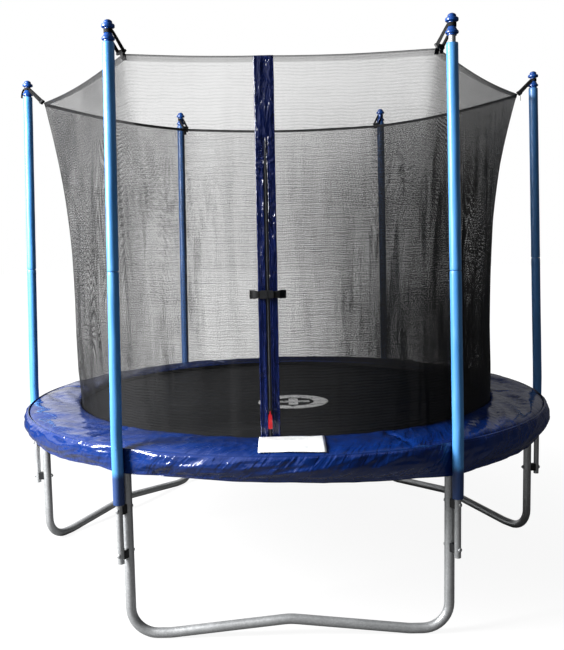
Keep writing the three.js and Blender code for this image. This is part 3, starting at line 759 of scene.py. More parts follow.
def black_webbing(nodes, place):
    """Ribbed black tape: cross ribs with raised cords, from the piece's own UV map in metres."""
    along, across, _ = nodes.add("ShaderNodeTexCoord")["UV"].split()
    weave = (along * 2600.0).sine() * 0.5 + (across * 1900.0).sine() * 0.5
    tone = place.noise(40.0, 3.0)
    return {
        "Base Color": nodes.between(weave * 0.25 + tone * 0.6, "070708", "18191b"),
        "Roughness": 0.62 + tone * 0.2,
        "Specular IOR Level": 0.2,
        "Normal": weave.bump(0.0004, 0.7),
    }


def sewing(name, low_colour, high_colour, rough):
    """Twisted sewing thread."""

    def inputs(nodes, place):
        colour = nodes.between(place.noise(300.0), low_colour, high_colour)
        return {"Base Color": colour, "Roughness": rough}

    return material(name, inputs)


mat_cloth = material("woven mat cloth", woven_mat)
webbing = material("black webbing", black_webbing)
thread = sewing("black sewing thread", "141416", "3a3b3e", 0.6)


def sheet_mesh(places, spots, finish, closed=False):
    """A sheet of quads over a grid of points. Its UV map, in metres, has a spot a point."""
    rows, columns = len(places), len(places[0])
    faces, flat = [], []
    for row in range(rows - 1):
        here, above = row * columns, (row + 1) * columns
        for k in range(columns if closed else columns - 1):
            beside = (k + 1) % columns
            faces.append((here + k, here + beside, above + beside, above + k))
            flat += [*spots[row][k : k + 2], *spots[row + 1][k : k + 2][::-1]]
    mesh = bpy.data.meshes.new("sheet")
    mesh.from_pydata([tuple(p) for line in places for p in line], [], faces)
    layer = mesh.uv_layers.new(name="UVMap")
    layer.data.foreach_set("uv", np.array(flat, np.float32).ravel())
    mesh.shade_smooth()
    mesh.materials.append(finish)
    return mesh


def surface(rows, columns, point, spot, finish, closed=False):
    """A sheet through point(row, column), laid out flat by spot(row, column)."""
    ends = [*columns, columns[0] + 2 * math.pi] if closed else columns
    places = [[point(row, column) for column in columns] for row in rows]
    return sheet_mesh(places, [[spot(row, c) for c in ends] for row in rows], finish, closed)


def mat_height(radius, angle):
    """A taut mat is flat but for a slight dish and soft waves that run in from its rings."""
    share = radius / MAT_RADIUS
    spot = Vector((radius * math.cos(angle) * 1.6, radius * math.sin(angle) * 1.6, 3.1))
    wave = 0.0012 * noise.noise(spot) * (1 - share**6)
    scallop = 0.0004 * math.cos(SPRINGS * angle) * share**24
    return MAT_TOP - 0.0004 - 0.0045 * (1 - share**2) + wave + scallop


ROUND = turns(288)
mat_mesh = surface(
    0.002 + (MAT_RADIUS - 0.002) * np.arange(45) / 44,
    ROUND,
    lambda radius, angle: on_circle(radius, angle, mat_height(radius, angle)),
    lambda radius, angle: (radius * math.cos(angle), radius * math.sin(angle)),
    mat_cloth,
    closed=True,
)
work = bmesh.new()
work.from_mesh(mat_mesh)
work.verts.ensure_lookup_table()
work.faces.new(work.verts[: len(ROUND)])
work.to_mesh(mat_mesh)
work.free()
mat_mesh.shade_smooth()
mat_mesh = modified(mat_mesh, wall_step(0.0022, -1.0))
mat_sheet = piece("mat_cloth", mat_mesh, "jumping_mat", "mat_fabric", "mat")

bead_nodes, given = new_tree(
    "stitches or teeth along a path",
    {
        "Spacing": "Float", "Width": "Float", "Thickness": "Float", "Length": "Float",
        "Fineness": "Int", "Turned": "Bool", "Finish": "Material",
    },
)
seam = bead_nodes.add("GeometryNodeMeshToCurve", {0: given["Geometry"]})
steps = bead_nodes.add(
    "GeometryNodeCurveToPoints", {"Curve": seam[0], "Length": given["Spacing"]}, mode="LENGTH"
)
ball = bead_nodes.add(
    "GeometryNodeMeshIcoSphere", {"Radius": 0.5, "Subdivisions": given["Fineness"]}
)
size = {"X": given["Width"], "Y": given["Thickness"], "Z": given["Length"]}
size = bead_nodes.add("ShaderNodeCombineXYZ", size)
bead = bead_nodes.add("GeometryNodeTransform", {"Geometry": ball[0], "Scale": size[0]})
turn = bead_nodes.add(
    "GeometryNodeSwitch",
    {"Switch": given["Turned"], "True": steps["Rotation"]},
    input_type="ROTATION",
)
beads = bead_nodes.add(
    "GeometryNodeInstanceOnPoints",
    {"Points": steps["Points"], "Instance": bead[0], "Rotation": turn[0]},
)
end_tree(bead_nodes, beads[0], given["Finish"])


def beads_along(points, finish, spacing, width, thick, length, fine=1, turned=True, closed=False):
    mesh = modified(
        polyline(points, closed),
        grow=bead_nodes,
        Spacing=spacing,
        Width=width,
        Thickness=thick,
        Length=length,
        Fineness=fine,
        Turned=turned,
        Finish=finish,
    )
    mesh.shade_smooth()
    return mesh


def stitched(points, finish, spacing=0.009, length=0.006, thick=0.0012, closed=False):
    """A row of stitches along a line."""
    return beads_along(points, finish, spacing, thick, thick, length, closed=closed)


BAND_INNER, BAND_OUTER = 0.936, 0.988


def band_point(share, angle):
    radius = BAND_INNER + (BAND_OUTER - BAND_INNER) * share
    rise = 0.0004 + 0.0006 * math.sin(math.pi * share)
    return on_circle(radius, angle, mat_height(radius, angle) + rise)


def band_spot(share, angle):
    return angle * BAND_OUTER, BAND_INNER + (BAND_OUTER - BAND_INNER) * share


band = surface(np.arange(7) / 6, ROUND, band_point, band_spot, webbing, closed=True)
band = modified(band, wall_step(0.0012, -1.0))
band_stitches = [
    stitched([on_circle(r, a, mat_height(r, 0) + 0.0011) for a in turns(720)], thread, closed=True)
    for r in (0.9395, 0.9715)
]
panel_seams = []
for x in (-0.336, -0.324, 0.324, 0.336):
    half_seam = math.sqrt(0.93**2 - x * x)
    line = [
        Vector((x, y, mat_height(math.hypot(x, y), math.atan2(y, x)) + 0.0004))
        for y in np.linspace(-half_seam, half_seam, 120)
    ]
    panel_seams.append(stitched(line, thread, 0.010, 0.007))
mat_edge = joined(band, *band_stitches, *panel_seams)
mat_edge = piece("mat_edge_band", mat_edge, "jumping_mat", "webbing")

# Three-cornered steel rings, each in a loop of webbing sewn under the band.
RING_Z = MAT_TOP - 0.0068
ring_corners = [
    Vector((x, y, RING_Z)) for x, y in ((0.9665, -0.0155), (0.9665, 0.0155), (0.9915, 0.0))
]
ring_path = []
for k, corner in enumerate(ring_corners):
    for other in (ring_corners[k - 1], ring_corners[(k + 1) % 3]):
        ring_path.append(corner + (other - corner).normalized() * 0.0035)
v_ring = bar_along(ring_path, 0.0017, steel, sides=8, closed=True)
loop_profile = [
    (0.9685, 0.0036), (0.9765, 0.0036), (0.9790, 0.0), (0.9765, -0.0030), (0.9685, -0.0030)
]
loop_places = [
    [Vector((x, y, RING_Z + z)) for x, z in loop_profile] for y in np.linspace(-0.0115, 0.0115, 5)
]
loop_spots = [[(0.006 * j, 0.006 * i) for j in range(5)] for i in range(5)]
ring_loop = modified(sheet_mesh(loop_places, loop_spots, webbing), wall_step(0.0012))

round_nodes, given = new_tree(
    "copies round the frame", {"Count": "Int", "First": "Float", "Step": "Float"}
)
spots = round_nodes.add("GeometryNodePoints", {"Count": given["Count"], "Position": (0, 0, 0)})
angle = round_nodes.add("GeometryNodeInputIndex")[0] * given["Step"] + given["First"]
euler = round_nodes.add("ShaderNodeCombineXYZ", {"Z": angle})
turn = round_nodes.add("FunctionNodeEulerToRotation", {0: euler[0]})
copies = round_nodes.add(
    "GeometryNodeInstanceOnPoints",
    {"Points": spots[0], "Instance": given["Geometry"], "Rotation": turn[0]},
)
end_tree(round_nodes, copies[0])


def copies_round(mesh, count, first, step):
    """Copies of a mesh about the Z axis, each with the finishes that it has."""
    return modified(mesh.copy(), grow=round_nodes, Count=count, First=first, Step=step)


rings = copies_round(joined(v_ring, ring_loop), SPRINGS, 0.0, PITCH)
piece("mat_rings", rings, "jumping_mat", "spring_steel")

# ---- Springs ----
# Forty-eight close-wound springs of zinc-plated wire. One hook holds a ring of the mat, the
# other curls into a slot in the inner side of the top rail.

SPRING_Z = MAT_TOP - 0.007
COIL_RADIUS, COIL_START, COIL_END = 0.0048, 1.008, 1.162
TURNS, TURN_STEPS = 36, 10


def wire_steel(nodes, place):
    """Bright zinc plate with a faint yellow cast, its tone varying at random."""
    tone = place.noise(55.0, 3.0)
    return {
        "Base Color": nodes.between(tone, "8d8f90", "d3d2cc"),
        "Metallic": 0.95,
        "Roughness": 0.2 + tone * 0.2,
        "Normal": place.noise(700.0).bump(0.0001, 0.3),
    }


def hook(centre, radius, start, end, steps):
    """A bow of wire in the plane of the spring's axis, between two angles in degrees."""
    return [(x, 0.0, z) for x, z in rounded(centre, SPRING_Z, radius, start, end, steps)]


# Inner hook, coil and outer hook in one line of wire, along +X.
spring_path = hook(0.9955, 0.0045, -150, 60, 9)
for k in range(TURNS * TURN_STEPS + 1):
    angle = math.pi / 2 + 2 * math.pi * k / TURN_STEPS
    x = COIL_START + (COIL_END - COIL_START) * k / (TURNS * TURN_STEPS)
    spring_path.append((x, COIL_RADIUS * math.cos(angle), SPRING_Z + COIL_RADIUS * math.sin(angle)))
rail_side = FRAME_RADIUS - TUBE_RADIUS
spring_path += [(rail_side - 0.010, 0, SPRING_Z + 0.0046), (rail_side, 0, SPRING_Z + 0.0048)]
spring_path += hook(rail_side + 0.003, 0.004, 80, -60, 6)
spring = bar_along(spring_path, 0.0011, material("bright spring wire", wire_steel), sides=5)
# Springs in twos, each pair a piece of its own, given its ends at the rail and at the mat.
for pair in range(SPRINGS // 2):
    angle = (2 * pair) * PITCH
    ends = [on_circle(radius, angle + PITCH / 2, SPRING_Z) for radius in (1.18, 0.995)]
    springs = copies_round(spring, 2, angle, PITCH)
    piece(f"spring_pair_{pair + 1:02d}", springs, ends, "spring_steel", "springs")

# ---- Safety pad ----
# A ring of foam in glossy blue vinyl lies over springs and rail. It is sewn from six sections,
# and a skirt of the same vinyl hangs outside the rail.

PAD_INNER, PAD_WIDTH = 0.9835, 0.2355
PAD_SEAMS = [math.radians(a) for a in (52, 112, 172, 231, 292, 352)]
PAD_MIDDLE = 1.1
SKIRT_RADIUS, SKIRT_TOP = 1.2212, 0.7400
PATCH_X, PATCH_BACK, PATCH_WIDTH, PATCH_DEPTH = 0.0165, -1.012, 0.241, 0.186
# The skirt hangs lower on the right and on the left than in front: its hem's height by degrees.
SKIRT_HEM = [
    (0, 0.612), (30, 0.630), (120, 0.635), (165, 0.625), (196, 0.618), (220, 0.630), (234, 0.645),
    (255, 0.643), (270, 0.638), (286, 0.622), (307, 0.608), (342, 0.606), (360, 0.612),
]


def vinyl(name, low_colour, high_colour, crinkle, stretch, dull, relief, shine, on_seams=False):
    """Glossy coated vinyl: soft folds, sharp creases, a fine fabric backing, handling marks.
    Its colour holds painted shade, darker in the hollows of the soft folds and lighter on their
    crowns. On seams, the creases run outwards from the ring's middle."""

    def inputs(nodes, place):
        backing = place.noise(900.0, 1.0)
        marks = place.noise(5.0, 4.0, 0.65).ramp(0.5, 0.75)
        if on_seams:
            round_ring, out, _ = nodes.add("ShaderNodeTexCoord")["UV"].split()
            skewed = {"X": round_ring + out * 0.7, "Y": out * 0.28}
            place = nodes.add("ShaderNodeCombineXYZ", skewed)[0]
        folds = place.noise(9.0, 4.0, 0.55)
        creased = place.noise(crinkle, 3.0, 0.55, stretch)
        crease = 1 - abs(creased - 0.5).ramp(0.0, 0.07)
        small = place.noise(crinkle * 4.0, 2.0, 0.5, stretch)
        height = folds * 1.4 + creased * 0.7 + crease * 0.14 + small * 0.06 + backing * 0.006
        return {
            # Painted shade: the colour follows the folds' height, darker in their hollows and
            # lighter on their crowns.
            "Base Color": nodes.between(folds, low_colour, high_colour),
            "Roughness": dull + marks * 0.12 + folds * 0.05,
            "Specular IOR Level": shine,
            "Coat Weight": 0.08 * shine / dull,
            "Coat Roughness": 0.06,
            "Normal": height.bump(0.010, relief),
        }

    return material(name, inputs)


pad_vinyl = vinyl(
    "glossy blue vinyl", "05184f", "0c3276", 14.0, (1.0, 1.0, 0.7), 0.13, 0.7, 0.5, on_seams=True
)


def crumple(x, y, z, seed, scale):
    """A creased field between about -1 and 1: soft between sharp ridges."""
    spot = Vector((x * scale + seed, y * scale, z * scale))
    return 1.0 - 2.2 * abs(noise.noise(spot)) - 0.8 * abs(noise.noise(spot * 2.1))


def apart_by(angle, other):
    """The smaller angle between two directions."""
    return abs((angle - other + math.pi) % (2 * math.pi) - math.pi)


def within(value, low=0.0, high=1.0):
    return min(max(value, low), high)


# (distance out from the inner edge, height): over the top to the outer edge, then back below.
pad_top_profile = [
    (0.0000, 0.7350), (0.0000, 0.7420), (0.0015, 0.7480), (0.0050, 0.7515), (0.0120, 0.7534),
    (0.0240, 0.7548), (0.0400, 0.7558), (0.0600, 0.7566), (0.0800, 0.7570), (0.1000, 0.7570),
    (0.1200, 0.7566), (0.1400, 0.7558), (0.1580, 0.7546), (0.1740, 0.7530), (0.1880, 0.7510),
    (0.2000, 0.7486), (0.2110, 0.7456), (0.2210, 0.7418), (0.2290, 0.7372), (0.2340, 0.7320),
]
pad_profile = [
    *pad_top_profile, (0.2355, 0.7270), (0.2345, 0.7240), (0.2290, 0.7290), (0.2150, 0.7312),
    (0.1950, 0.7322), (0.1500, 0.7334), (0.1000, 0.7340), (0.0500, 0.7344), (0.0120, 0.7346),
]
PAD_COLUMNS = 900


def pad_lift(angle, out):
    """Folds run outwards and a little askew, and are deeper where sections meet."""
    radius = PAD_INNER + out
    x, y = radius * math.cos(angle), radius * math.sin(angle)
    middle = math.sin(math.pi * within(out / PAD_WIDTH)) ** 0.6
    # The white patch holds the vinyl flat in front of the door.
    if abs(x - PATCH_X) < 0.16 and y < 0:
        middle *= 0.35
    folds = crumple(angle * 2.6 + out * 5.0, out * 1.6, 0.0, 11.0, 2.6)
    broad = noise.noise(Vector((angle * 2.2 + out * 4.0, out * 3.0, 2.0)))
    fine = crumple(x, y, 0.0, 4.0, 11.0)
    seam = math.exp(-((min(apart_by(angle, s) for s in PAD_SEAMS) * PAD_MIDDLE / 0.010) ** 2))
    lift = (0.0100 * (folds - 0.25) + 0.0070 * broad + 0.0014 * (fine - 0.2)) * middle
    return lift - 0.0080 * seam * middle


pad_angles = [PAD_SEAMS[-1] + a for a in (*turns(PAD_COLUMNS), 2 * math.pi)]
pad_places, pad_spots, run = [], [], 0.0
for row, (out, height) in enumerate(pad_profile):
    run += math.dist((out, height), pad_profile[max(row - 1, 0)])
    line = []
    for angle in pad_angles[:-1]:
        z = height + (pad_lift(angle, out) if 2 < row < 19 else 0.0)
        if row in (2, 3, 4):
            z -= 0.0012 * (0.5 + 0.5 * math.cos(angle * 150))
        line.append(on_circle(PAD_INNER + out, angle, z))
    pad_places.append(line)
    pad_spots.append([(angle * PAD_MIDDLE, run) for angle in pad_angles])
pad_places.append(pad_places[0])
pad_spots.append([(u, run + 0.012) for u, _ in pad_spots[0]])
pad_mesh = sheet_mesh(pad_places, pad_spots, pad_vinyl, closed=True)
pad_mesh = closed_mesh(pad_mesh, pad_vinyl, sharp=180)
pad = piece("pad_ring", pad_mesh, "root", "pad_vinyl", "safety_pad")


def skirt_point(angle, share):
    """A point of the skirt; share goes from its seam on the pad to its lower hem.

    Between the poles it bellies out over the rail and turns in below, drawn by its elastic hem.
    """
    between_poles = min(1.0, (abs(math.sin(3 * angle)) / 0.35)) ** 1.5
    pucker = crumple(angle * 6.5 + share * 1.2, share * 1.9, 0.0, 31.0, 1.7) - 0.1
    long_fold = crumple(angle * 3.2 + share * 1.1, share * 0.8, 0.0, 57.0, 1.3) - 0.1
    belly = math.sin(math.pi * min(share / 0.85, 1.0)) ** 0.8
    tuck = max(0.0, share - 0.45) / 0.55
    hem_height = float(np.interp(math.degrees(angle) % 360, *zip(*SKIRT_HEM)))
    sag = min(1.0, (0.648 - hem_height) / 0.036)
    radius = SKIRT_RADIUS - 0.0015 * (1 - min(share / 0.08, 1.0))
    radius += between_poles * ((0.0075 + 0.0120 * sag) * belly - 0.0270 * tuck**1.3)
    crush = (0.2 + 0.8 * between_poles) * min(share / 0.1, 1.0)
    radius += (0.0042 * pucker + 0.0048 * long_fold) * crush
    least = 1.2203 - 0.0290 * between_poles * tuck
    most = 1.2232 + (0.0125 + 0.0120 * sag) * between_poles
    z = SKIRT_TOP - (SKIRT_TOP - hem_height) * share + 0.0035 * long_fold * share * between_poles
    return on_circle(within(radius, least, most), angle, max(z, hem_height - 0.003))


skirt_mesh = surface(
    np.arange(27) / 26,
    turns(1320),
    lambda share, angle: skirt_point(angle, share),
    lambda share, angle: (angle * SKIRT_RADIUS, share * 0.12),
    pad_vinyl,
    closed=True,
)
skirt = piece("pad_skirt", modified(skirt_mesh, wall_step(0.0008)), "root", "pad_vinyl")
blue_thread = sewing("blue sewing thread", "1b2a86", "3a50b8", 0.5)


def skirt_line(share, lift):
    """A line round the skirt, held off its surface by lift."""
    return [skirt_point(a, share) + on_circle(lift, a, 0) for a in turns(1080)]


skirt_sewing = piece(
    "pad_sewing",
    joined(
        stitched(skirt_line(0.92, 0.0007), blue_thread, 0.008, 0.005, 0.0009, True),
        stitched(skirt_line(0.06, 0.0007), blue_thread, 0.008, 0.005, 0.0009, True),
        bar_along(skirt_line(0.985, 0.0), 0.0014, pad_vinyl, sides=8, closed=True),
        bar_along(skirt_line(0.02, -0.0004), 0.0013, pad_vinyl, sides=8, closed=True),
    ),
    "root",
    "pad_vinyl",
)


def white_cloth(nodes, place):
    """Coated white cloth, faintly soiled, with the weave showing through."""
    soil = place.noise(22.0, 4.0, 0.6)
    return {
        "Base Color": nodes.between(soil.ramp(0.5, 0.8), "dfe0df", "b4b7b9"),
        "Roughness": 0.45 + soil * 0.2,
        "Normal": (place.noise(800.0, 1.0) + soil * 4.0).bump(0.0005, 0.4),
    }


# A blank white patch, sewn on the pad beside the door.
patch_places, patch_spots = [], []
for row in range(13):
    y = PATCH_BACK - PATCH_DEPTH * row / 12
    line, spots = [], []
    for x in PATCH_X + PATCH_WIDTH * (np.arange(25) / 24 - 0.5):
        lift = 0.0052 + 0.0016 * noise.noise(Vector((x * 16, y * 16, 8.0)))
        edge_y = y - 0.004 * noise.noise(Vector((x * 9, 2.0, row * 0.1)))
        pad_top = float(np.interp(math.hypot(x, edge_y) - PAD_INNER, *zip(*pad_top_profile)))
        line.append(Vector((x, edge_y, pad_top + lift)))
        spots.append((x, y))
    patch_places.append(line)
    patch_spots.append(spots)
patch_mesh = sheet_mesh(patch_places, patch_spots, material("white patch cloth", white_cloth))
patch = piece("pad_patch", modified(patch_mesh, wall_step(0.0008)), "root", "pad_vinyl")
outline = [*patch_places[0], *[r[-1] for r in patch_places[1:]]]
outline += [*patch_places[-1][-2::-1], *[r[0] for r in patch_places[-2::-1]]]
inset = [p.lerp(Vector((PATCH_X, -1.105, p.z)), 0.035) + Vector((0, 0, 0.0006)) for p in outline]
patch_sewing = stitched(inset, blue_thread, 0.006, 0.004, 0.0008)
patch_sewing = piece("patch_sewing", patch_sewing, "root", "pad_vinyl")

# ---- Net ----
# One length of black knitted mesh round the mat, sewn to a drum at its foot and drawn out to
# six corners at the top. It is laced to the mat's rings, and its top edge is folded over.

NET_RADIUS = 0.980
NET_BOTTOM, NET_TOP = 0.7273, 2.150
DOOR_X = -0.062
DOOR_TURN = math.asin(DOOR_X / NET_RADIUS)
DOOR_FACE = NET_RADIUS * math.cos(DOOR_TURN)
DOOR_ANGLE = -math.pi / 2 + DOOR_TURN
DOOR_PANEL = 0.100
# Net and door get two places instead of a body, on the frame and on the mat; they stay fixed where
# they are made.
HANGING = ((0, 0, 1.3), (0, 0, 0.75))


def net_point(angle, height):
    """A point of the net: taut at top and foot, with soft upright folds in between."""
    share = (height - NET_BOTTOM) / (NET_TOP - NET_BOTTOM)
    up = max(share, 0.0)
    from_side = (angle % SECTOR) - SECTOR / 2
    off_door = apart_by(angle, DOOR_ANGLE) * NET_RADIUS
    free = within((off_door - DOOR_PANEL) / 0.12) * math.sin(math.pi * min(up, 1)) ** 0.7
    near_pole = (abs(from_side) / (SECTOR / 2)) ** 2
    spot = Vector((angle * 9.0, share * 0.8, 5.0))
    folds = noise.noise(spot) + 0.5 * noise.noise(spot * 2.3)
    fine = noise.noise(Vector((angle * 34.0, share * 1.3, 9.0)))
    radius = NET_RADIUS * (1 + up**2.6 * (1 / math.cos(from_side) - 1))
    radius += free * (0.0065 * folds * (0.5 + near_pole) + 0.002 * fine - 0.004)
    drawn_up = 0.014 * near_pole - 0.004 * min(off_door / 0.3, 1.0) * (1 - near_pole)
    swell = within((off_door - DOOR_PANEL) / 0.3) * min(up * 8, 1) * (1 - share) ** 0.6
    place = on_circle(radius + 0.009 * swell, angle, height + drawn_up * up**3)
    place.x -= 0.011 * swell * min(1, 4 * up)
    if off_door < DOOR_PANEL + 0.05:
        flat = within((DOOR_PANEL + 0.05 - off_door) / 0.05)
        place.y += flat * (-DOOR_FACE - place.y)
    return place


def knitted_net(nodes, place):
    """Fine knitted mesh, its rows in wavering bands and folds. Its threads cover more low down and
    towards the right, painted shade that darkens the net there, and more at both sides and beside
    the left pole.
    """
    along, up, _ = nodes.add("ShaderNodeTexCoord")["UV"].split()
    x, y, _ = place.split()
    cloud = place.noise(1.8, 3.0)
    waver = (place.noise(1.0, stretch=(13.0, 13.0, 5.0)) - 0.5) * 0.016
    broken = place.noise(1.0, 2.0, 0.6, (5.0, 5.0, 60.0)).ramp(0.3, 0.7)
    across_net = abs(((up + waver) / 0.0112) % 1.0 - 0.5) * 2
    lines = across_net.ramp(0.35, 0.95) * (0.35 + broken * 0.65)
    uprights = place.noise(1.0, 2.0, 0.6, (60.0, 60.0, 3.0)) - 0.5
    streaks = place.noise(1.0, 3.0, 0.65, (6.0, 6.0, 0.9)) - 0.5
    pleats = place.noise(1.0, 2.0, 0.6, (17.0, 17.0, 1.6)).ramp(0.52, 0.68)
    low = 1 - up.ramp(0.95, 1.36)
    right, left, aside = x.ramp(-0.3, 0.58), x.ramp(-0.5, -0.62), x.ramp(0.5, 0.6)
    beside_pole = left * x.ramp(-0.86, -0.74) * y.ramp(0.0, -0.2)
    foot = (1 - up.ramp(0.35, 0.7)) * x.ramp(0.2, 0.4)
    # The share of the net's surface that its threads cover. The terms low, right and foot make it
    #     denser where painted shade darkens the net.
    cover = 0.18 + low * 0.10 + right * (0.16 + low * 0.20)
    cover = cover + left * (0.24 - low * 0.08) + aside * (0.30 - low * 0.16)
    cover = cover + beside_pole * 0.13 + foot * 0.13
    cover = cover + left * (place.noise(3.4, 3.0, 0.6) - 0.5) * 0.45
    cover = cover + (cloud - 0.5) * 0.12 + (lines - 0.3) * (0.13 + low * 0.10)
    cover = cover + uprights * (0.04 + low * 0.12) + streaks * (0.08 + low * 0.14)
    cover = cover + pleats * low * (0.05 + abs(x).ramp(0.25, 0.6) * 0.17) - low * 0.03
    width = 1 - (1 - cover).most(0.05) ** 0.5
    cell = 0.0026
    column = abs(((along + waver * 0.2) / cell) % 1.0 - 0.5) * 2
    row = abs((up / cell) % 1.0 - 0.5) * 2
    cords, threads = ((1 - (way - width).ramp(-0.10, 0.10)) for way in (column, row))
    mesh = cords.most(threads)
    behind = y.ramp(-0.8, 0.3)
    hem = up.ramp(1.398 + behind * 0.008, 1.403 + behind * 0.008) + (up < 0.02)
    solid = hem * (0.18 + behind * 0.5 + left * 0.2) + (up > 1.4165) * 0.2
    return {
        "Base Color": nodes.between(cloud, "0a0a0b", "171718"),
        "Roughness": 0.6,
        "Specular IOR Level": 0.2,
        "Alpha": (mesh + solid).least(1.0),
        "Normal": mesh.bump(0.0005, 0.4),
    }


slit = 0.0032 / NET_RADIUS
net_angles = DOOR_ANGLE + slit + (2 * math.pi - 2 * slit) * np.arange(541) / 540
net_mesh = surface(
    NET_BOTTOM + (NET_TOP - NET_BOTTOM) * np.arange(73) / 72,
    net_angles,
    lambda height, angle: net_point(angle, height),
    lambda height, angle: ((angle - net_angles[0]) * NET_RADIUS, height - NET_BOTTOM),
    material("black knitted net", knitted_net),
)
net_mesh = modified(net_mesh, wall_step(0.0002, 1.0, use_rim=False))
net = piece("net_cloth", net_mesh, HANGING, "net_mesh", "net")
edge_line = [net_point(a, NET_TOP) - Vector((0, 0, 0.0008)) for a in net_angles[::3]]
net_edge = bar_along(edge_line, 0.0010, thread, sides=8)
net_edge = piece("net_top_edge", net_edge, "root", "net_mesh")

# ---- Net straps ----
# A loop of black webbing lies round each cap's neck. Its two ends go through a moulded adjuster
# and are sewn to a corner of the net; the loose tail hangs down.

TAPE = 0.020


def tape_mesh(points, widths, across):
    """A flat strap along points; across is the direction of its width."""
    places, spots, run = [], [], 0.0
    points, across = [Vector(p) for p in points], Vector(across)
    for k, (point, width) in enumerate(zip(points, np.broadcast_to(widths, len(points)))):
        before, after = points[max(k - 1, 0)], points[min(k + 1, len(points) - 1)]
        run += (point - before).length
        onward = (after - before).normalized()
        side = (across - onward * onward.dot(across)).normalized()
        places.append([point + side * (width * (j / 4 - 0.5)) for j in range(5)])
        spots.append([(run, width * j / 4) for j in range(5)])
    edges = {"width": 0.0003, "segments": 1, "limit_method": "ANGLE"}
    return modified(sheet_mesh(places, spots, webbing), wall_step(0.0016), ("BEVEL", edges))


def box(left, low, right, high):
    """The outline of a rectangle."""
    return [(left, low), (right, low), (right, high), (left, high)]


cap_axis = Vector((-math.sin(POLE_LEAN), 0, math.cos(POLE_LEAN)))
neck = pole_axis(CAP_BOTTOM) + cap_axis * 0.0372
corner_top = net_point(0.0, NET_TOP)
hem_line = (corner_top - net_point(0.0, NET_TOP - 0.06)).normalized()
outward = Vector((hem_line.z, 0, -hem_line.x))
adjuster = corner_top + Vector((0.009, 0, 0.004))
pull = (adjuster - neck).normalized()
face = (cap_axis - pull * pull.dot(cap_axis)).normalized()
loop_radius = NECK_RADIUS + 0.0012
# Loose tails hang from the neck on some poles and from the adjuster on others: the length of
# each, whether it hangs from the neck, and how far it curls aside.
TAILS = (
    (0.026, False, 0.4), (0.040, True, 1.6), (0.030, False, -0.6),
    (0.042, True, 0.2), (0.018, False, 0.3), (0.020, False, -0.3),
)


def strap_mesh(station):
    """The loop round neck and adjuster, the end sewn to the net, and the loose tail."""
    first, last = (adjuster - pull * 0.002 + Vector((0, hold, 0)) for hold in (0.0140, -0.0140))
    bow = math.pi / 2 + 0.5
    loop = [neck + on_circle(loop_radius, a, 0) for a in np.linspace(bow, -bow, 24)]
    loop = [
        *(first.lerp(loop[0], s / 6) for s in range(6)),
        *loop,
        *(loop[-1].lerp(last, s / 6) for s in range(1, 7)),
    ]
    widths = [0.0135] * len(loop)
    for k in range(6):
        widths[k] = widths[-1 - k] = 0.0180 - 0.0007 * k
    parts = [tape_mesh(loop, widths, cap_axis)]
    # The adjuster is a moulded frame with the strap wound over its middle bar.
    turned = Matrix((Vector((0, 1, 0)), face, pull)).transposed().to_4x4()
    place = Matrix.Translation(adjuster) @ turned
    w, l = 0.0175, 0.0112
    for bar in (
        box(-w, -l, -w + 0.0032, l),
        box(w - 0.0032, -l, w, l),
        box(-w, -l, w, -l + 0.0030),
        box(-w, l - 0.0030, w, l),
    ):
        parts.append(prism(bar, -0.0040, 0.0040, black_plastic, 0.0008, place))
    wound = box(-0.0142, -0.0088, 0.0142, 0.0088)
    parts.append(prism(wound, -0.0056, 0.0056, webbing, 0.0016, place))
    on_net = [
        adjuster + pull * 0.001,
        adjuster.lerp(corner_top, 0.6) - outward * 0.0012,
        corner_top - outward * 0.0022 - hem_line * 0.003,
        *(corner_top - hem_line * down - outward * 0.0024 for down in (0.010, 0.016, 0.022)),
    ]
    parts.append(tape_mesh(on_net, TAPE, (0, 1, 0)))
    length, from_neck, curl = TAILS[station]
    start, out = adjuster - face * 0.010 + Vector((0, 0.006, 0)), 0.003
    if from_neck:
        start, out = neck + Vector((loop_radius + 0.0006, 0.004, -0.001)), 0.012
    tail = []
    for s in np.linspace(0, 1, 9):
        bow = math.sin(math.pi * s / 2)
        tail.append(start + Vector((out * bow, curl * 0.016 * bow, -length * s**1.3)))
    parts.append(tape_mesh(tail, 0.014, (0.25, 1, 0)))
    return joined(*parts)


at_stations("strap", strap_mesh, "webbing", "net_strap")

# ---- Door ----
# A strip of navy vinyl covers the slit in the net. Above the zip it is one panel; below, two
# flaps meet over the zip's black tape and its coil teeth.

DOOR_WIDTH = 0.073
DOOR_BACK = -DOOR_FACE - 0.0003
DOOR_FRONT = DOOR_BACK - 0.002
TOOTH_FRONT = DOOR_FRONT - 0.0025
ZIP_BOTTOM, ZIP_TOP = 0.740, 1.860
door_vinyl = vinyl(
    "navy door vinyl", "030826", "08184a", 44.0, (1.0, 1.0, 0.22), 0.12, 0.62, 0.42
)


def flap_point(share, height, hand):
    """hand is -1 for the left flap and 1 for the right; share runs from the zip outwards."""
    wander = 0.0012 * noise.noise(Vector((height * 5, 4.0 + hand, 0)))
    apart = within((ZIP_TOP - height) / 0.16) ** 0.7
    inner = DOOR_X + hand * (0.0078 + wander) * apart
    x = inner + (DOOR_X + hand * DOOR_WIDTH / 2 - inner) * share
    lump = crumple(x * 1.5, height * 0.7, hand * apart, 3.0, 17.0)
    long_lump = crumple(x * 4.0, height * 0.30, hand * apart, 13.0, 10.0)
    curl = math.exp(-((share / 0.16) ** 2)) * 0.0012 * apart
    lift = 0.0012 + 0.0014 * max(lump, -0.7) + 0.0014 * long_lump + curl
    lift *= min(1.0, 6 * (1 - share) + 0.25)
    # The slider's highest place: the flaps lie flat behind it.
    if ZIP_TOP - 0.065 < height < ZIP_TOP + 0.004 and abs(x - DOOR_X) < 0.0115:
        lift = min(lift, 0.0009)
    x += 0.0009 * noise.noise(Vector((height * 9, hand, 0))) * share
    if height > NET_TOP - 0.012:
        lift += 0.0008
    return Vector((x, DOOR_BACK - 0.0004 - max(lift, 0), height))


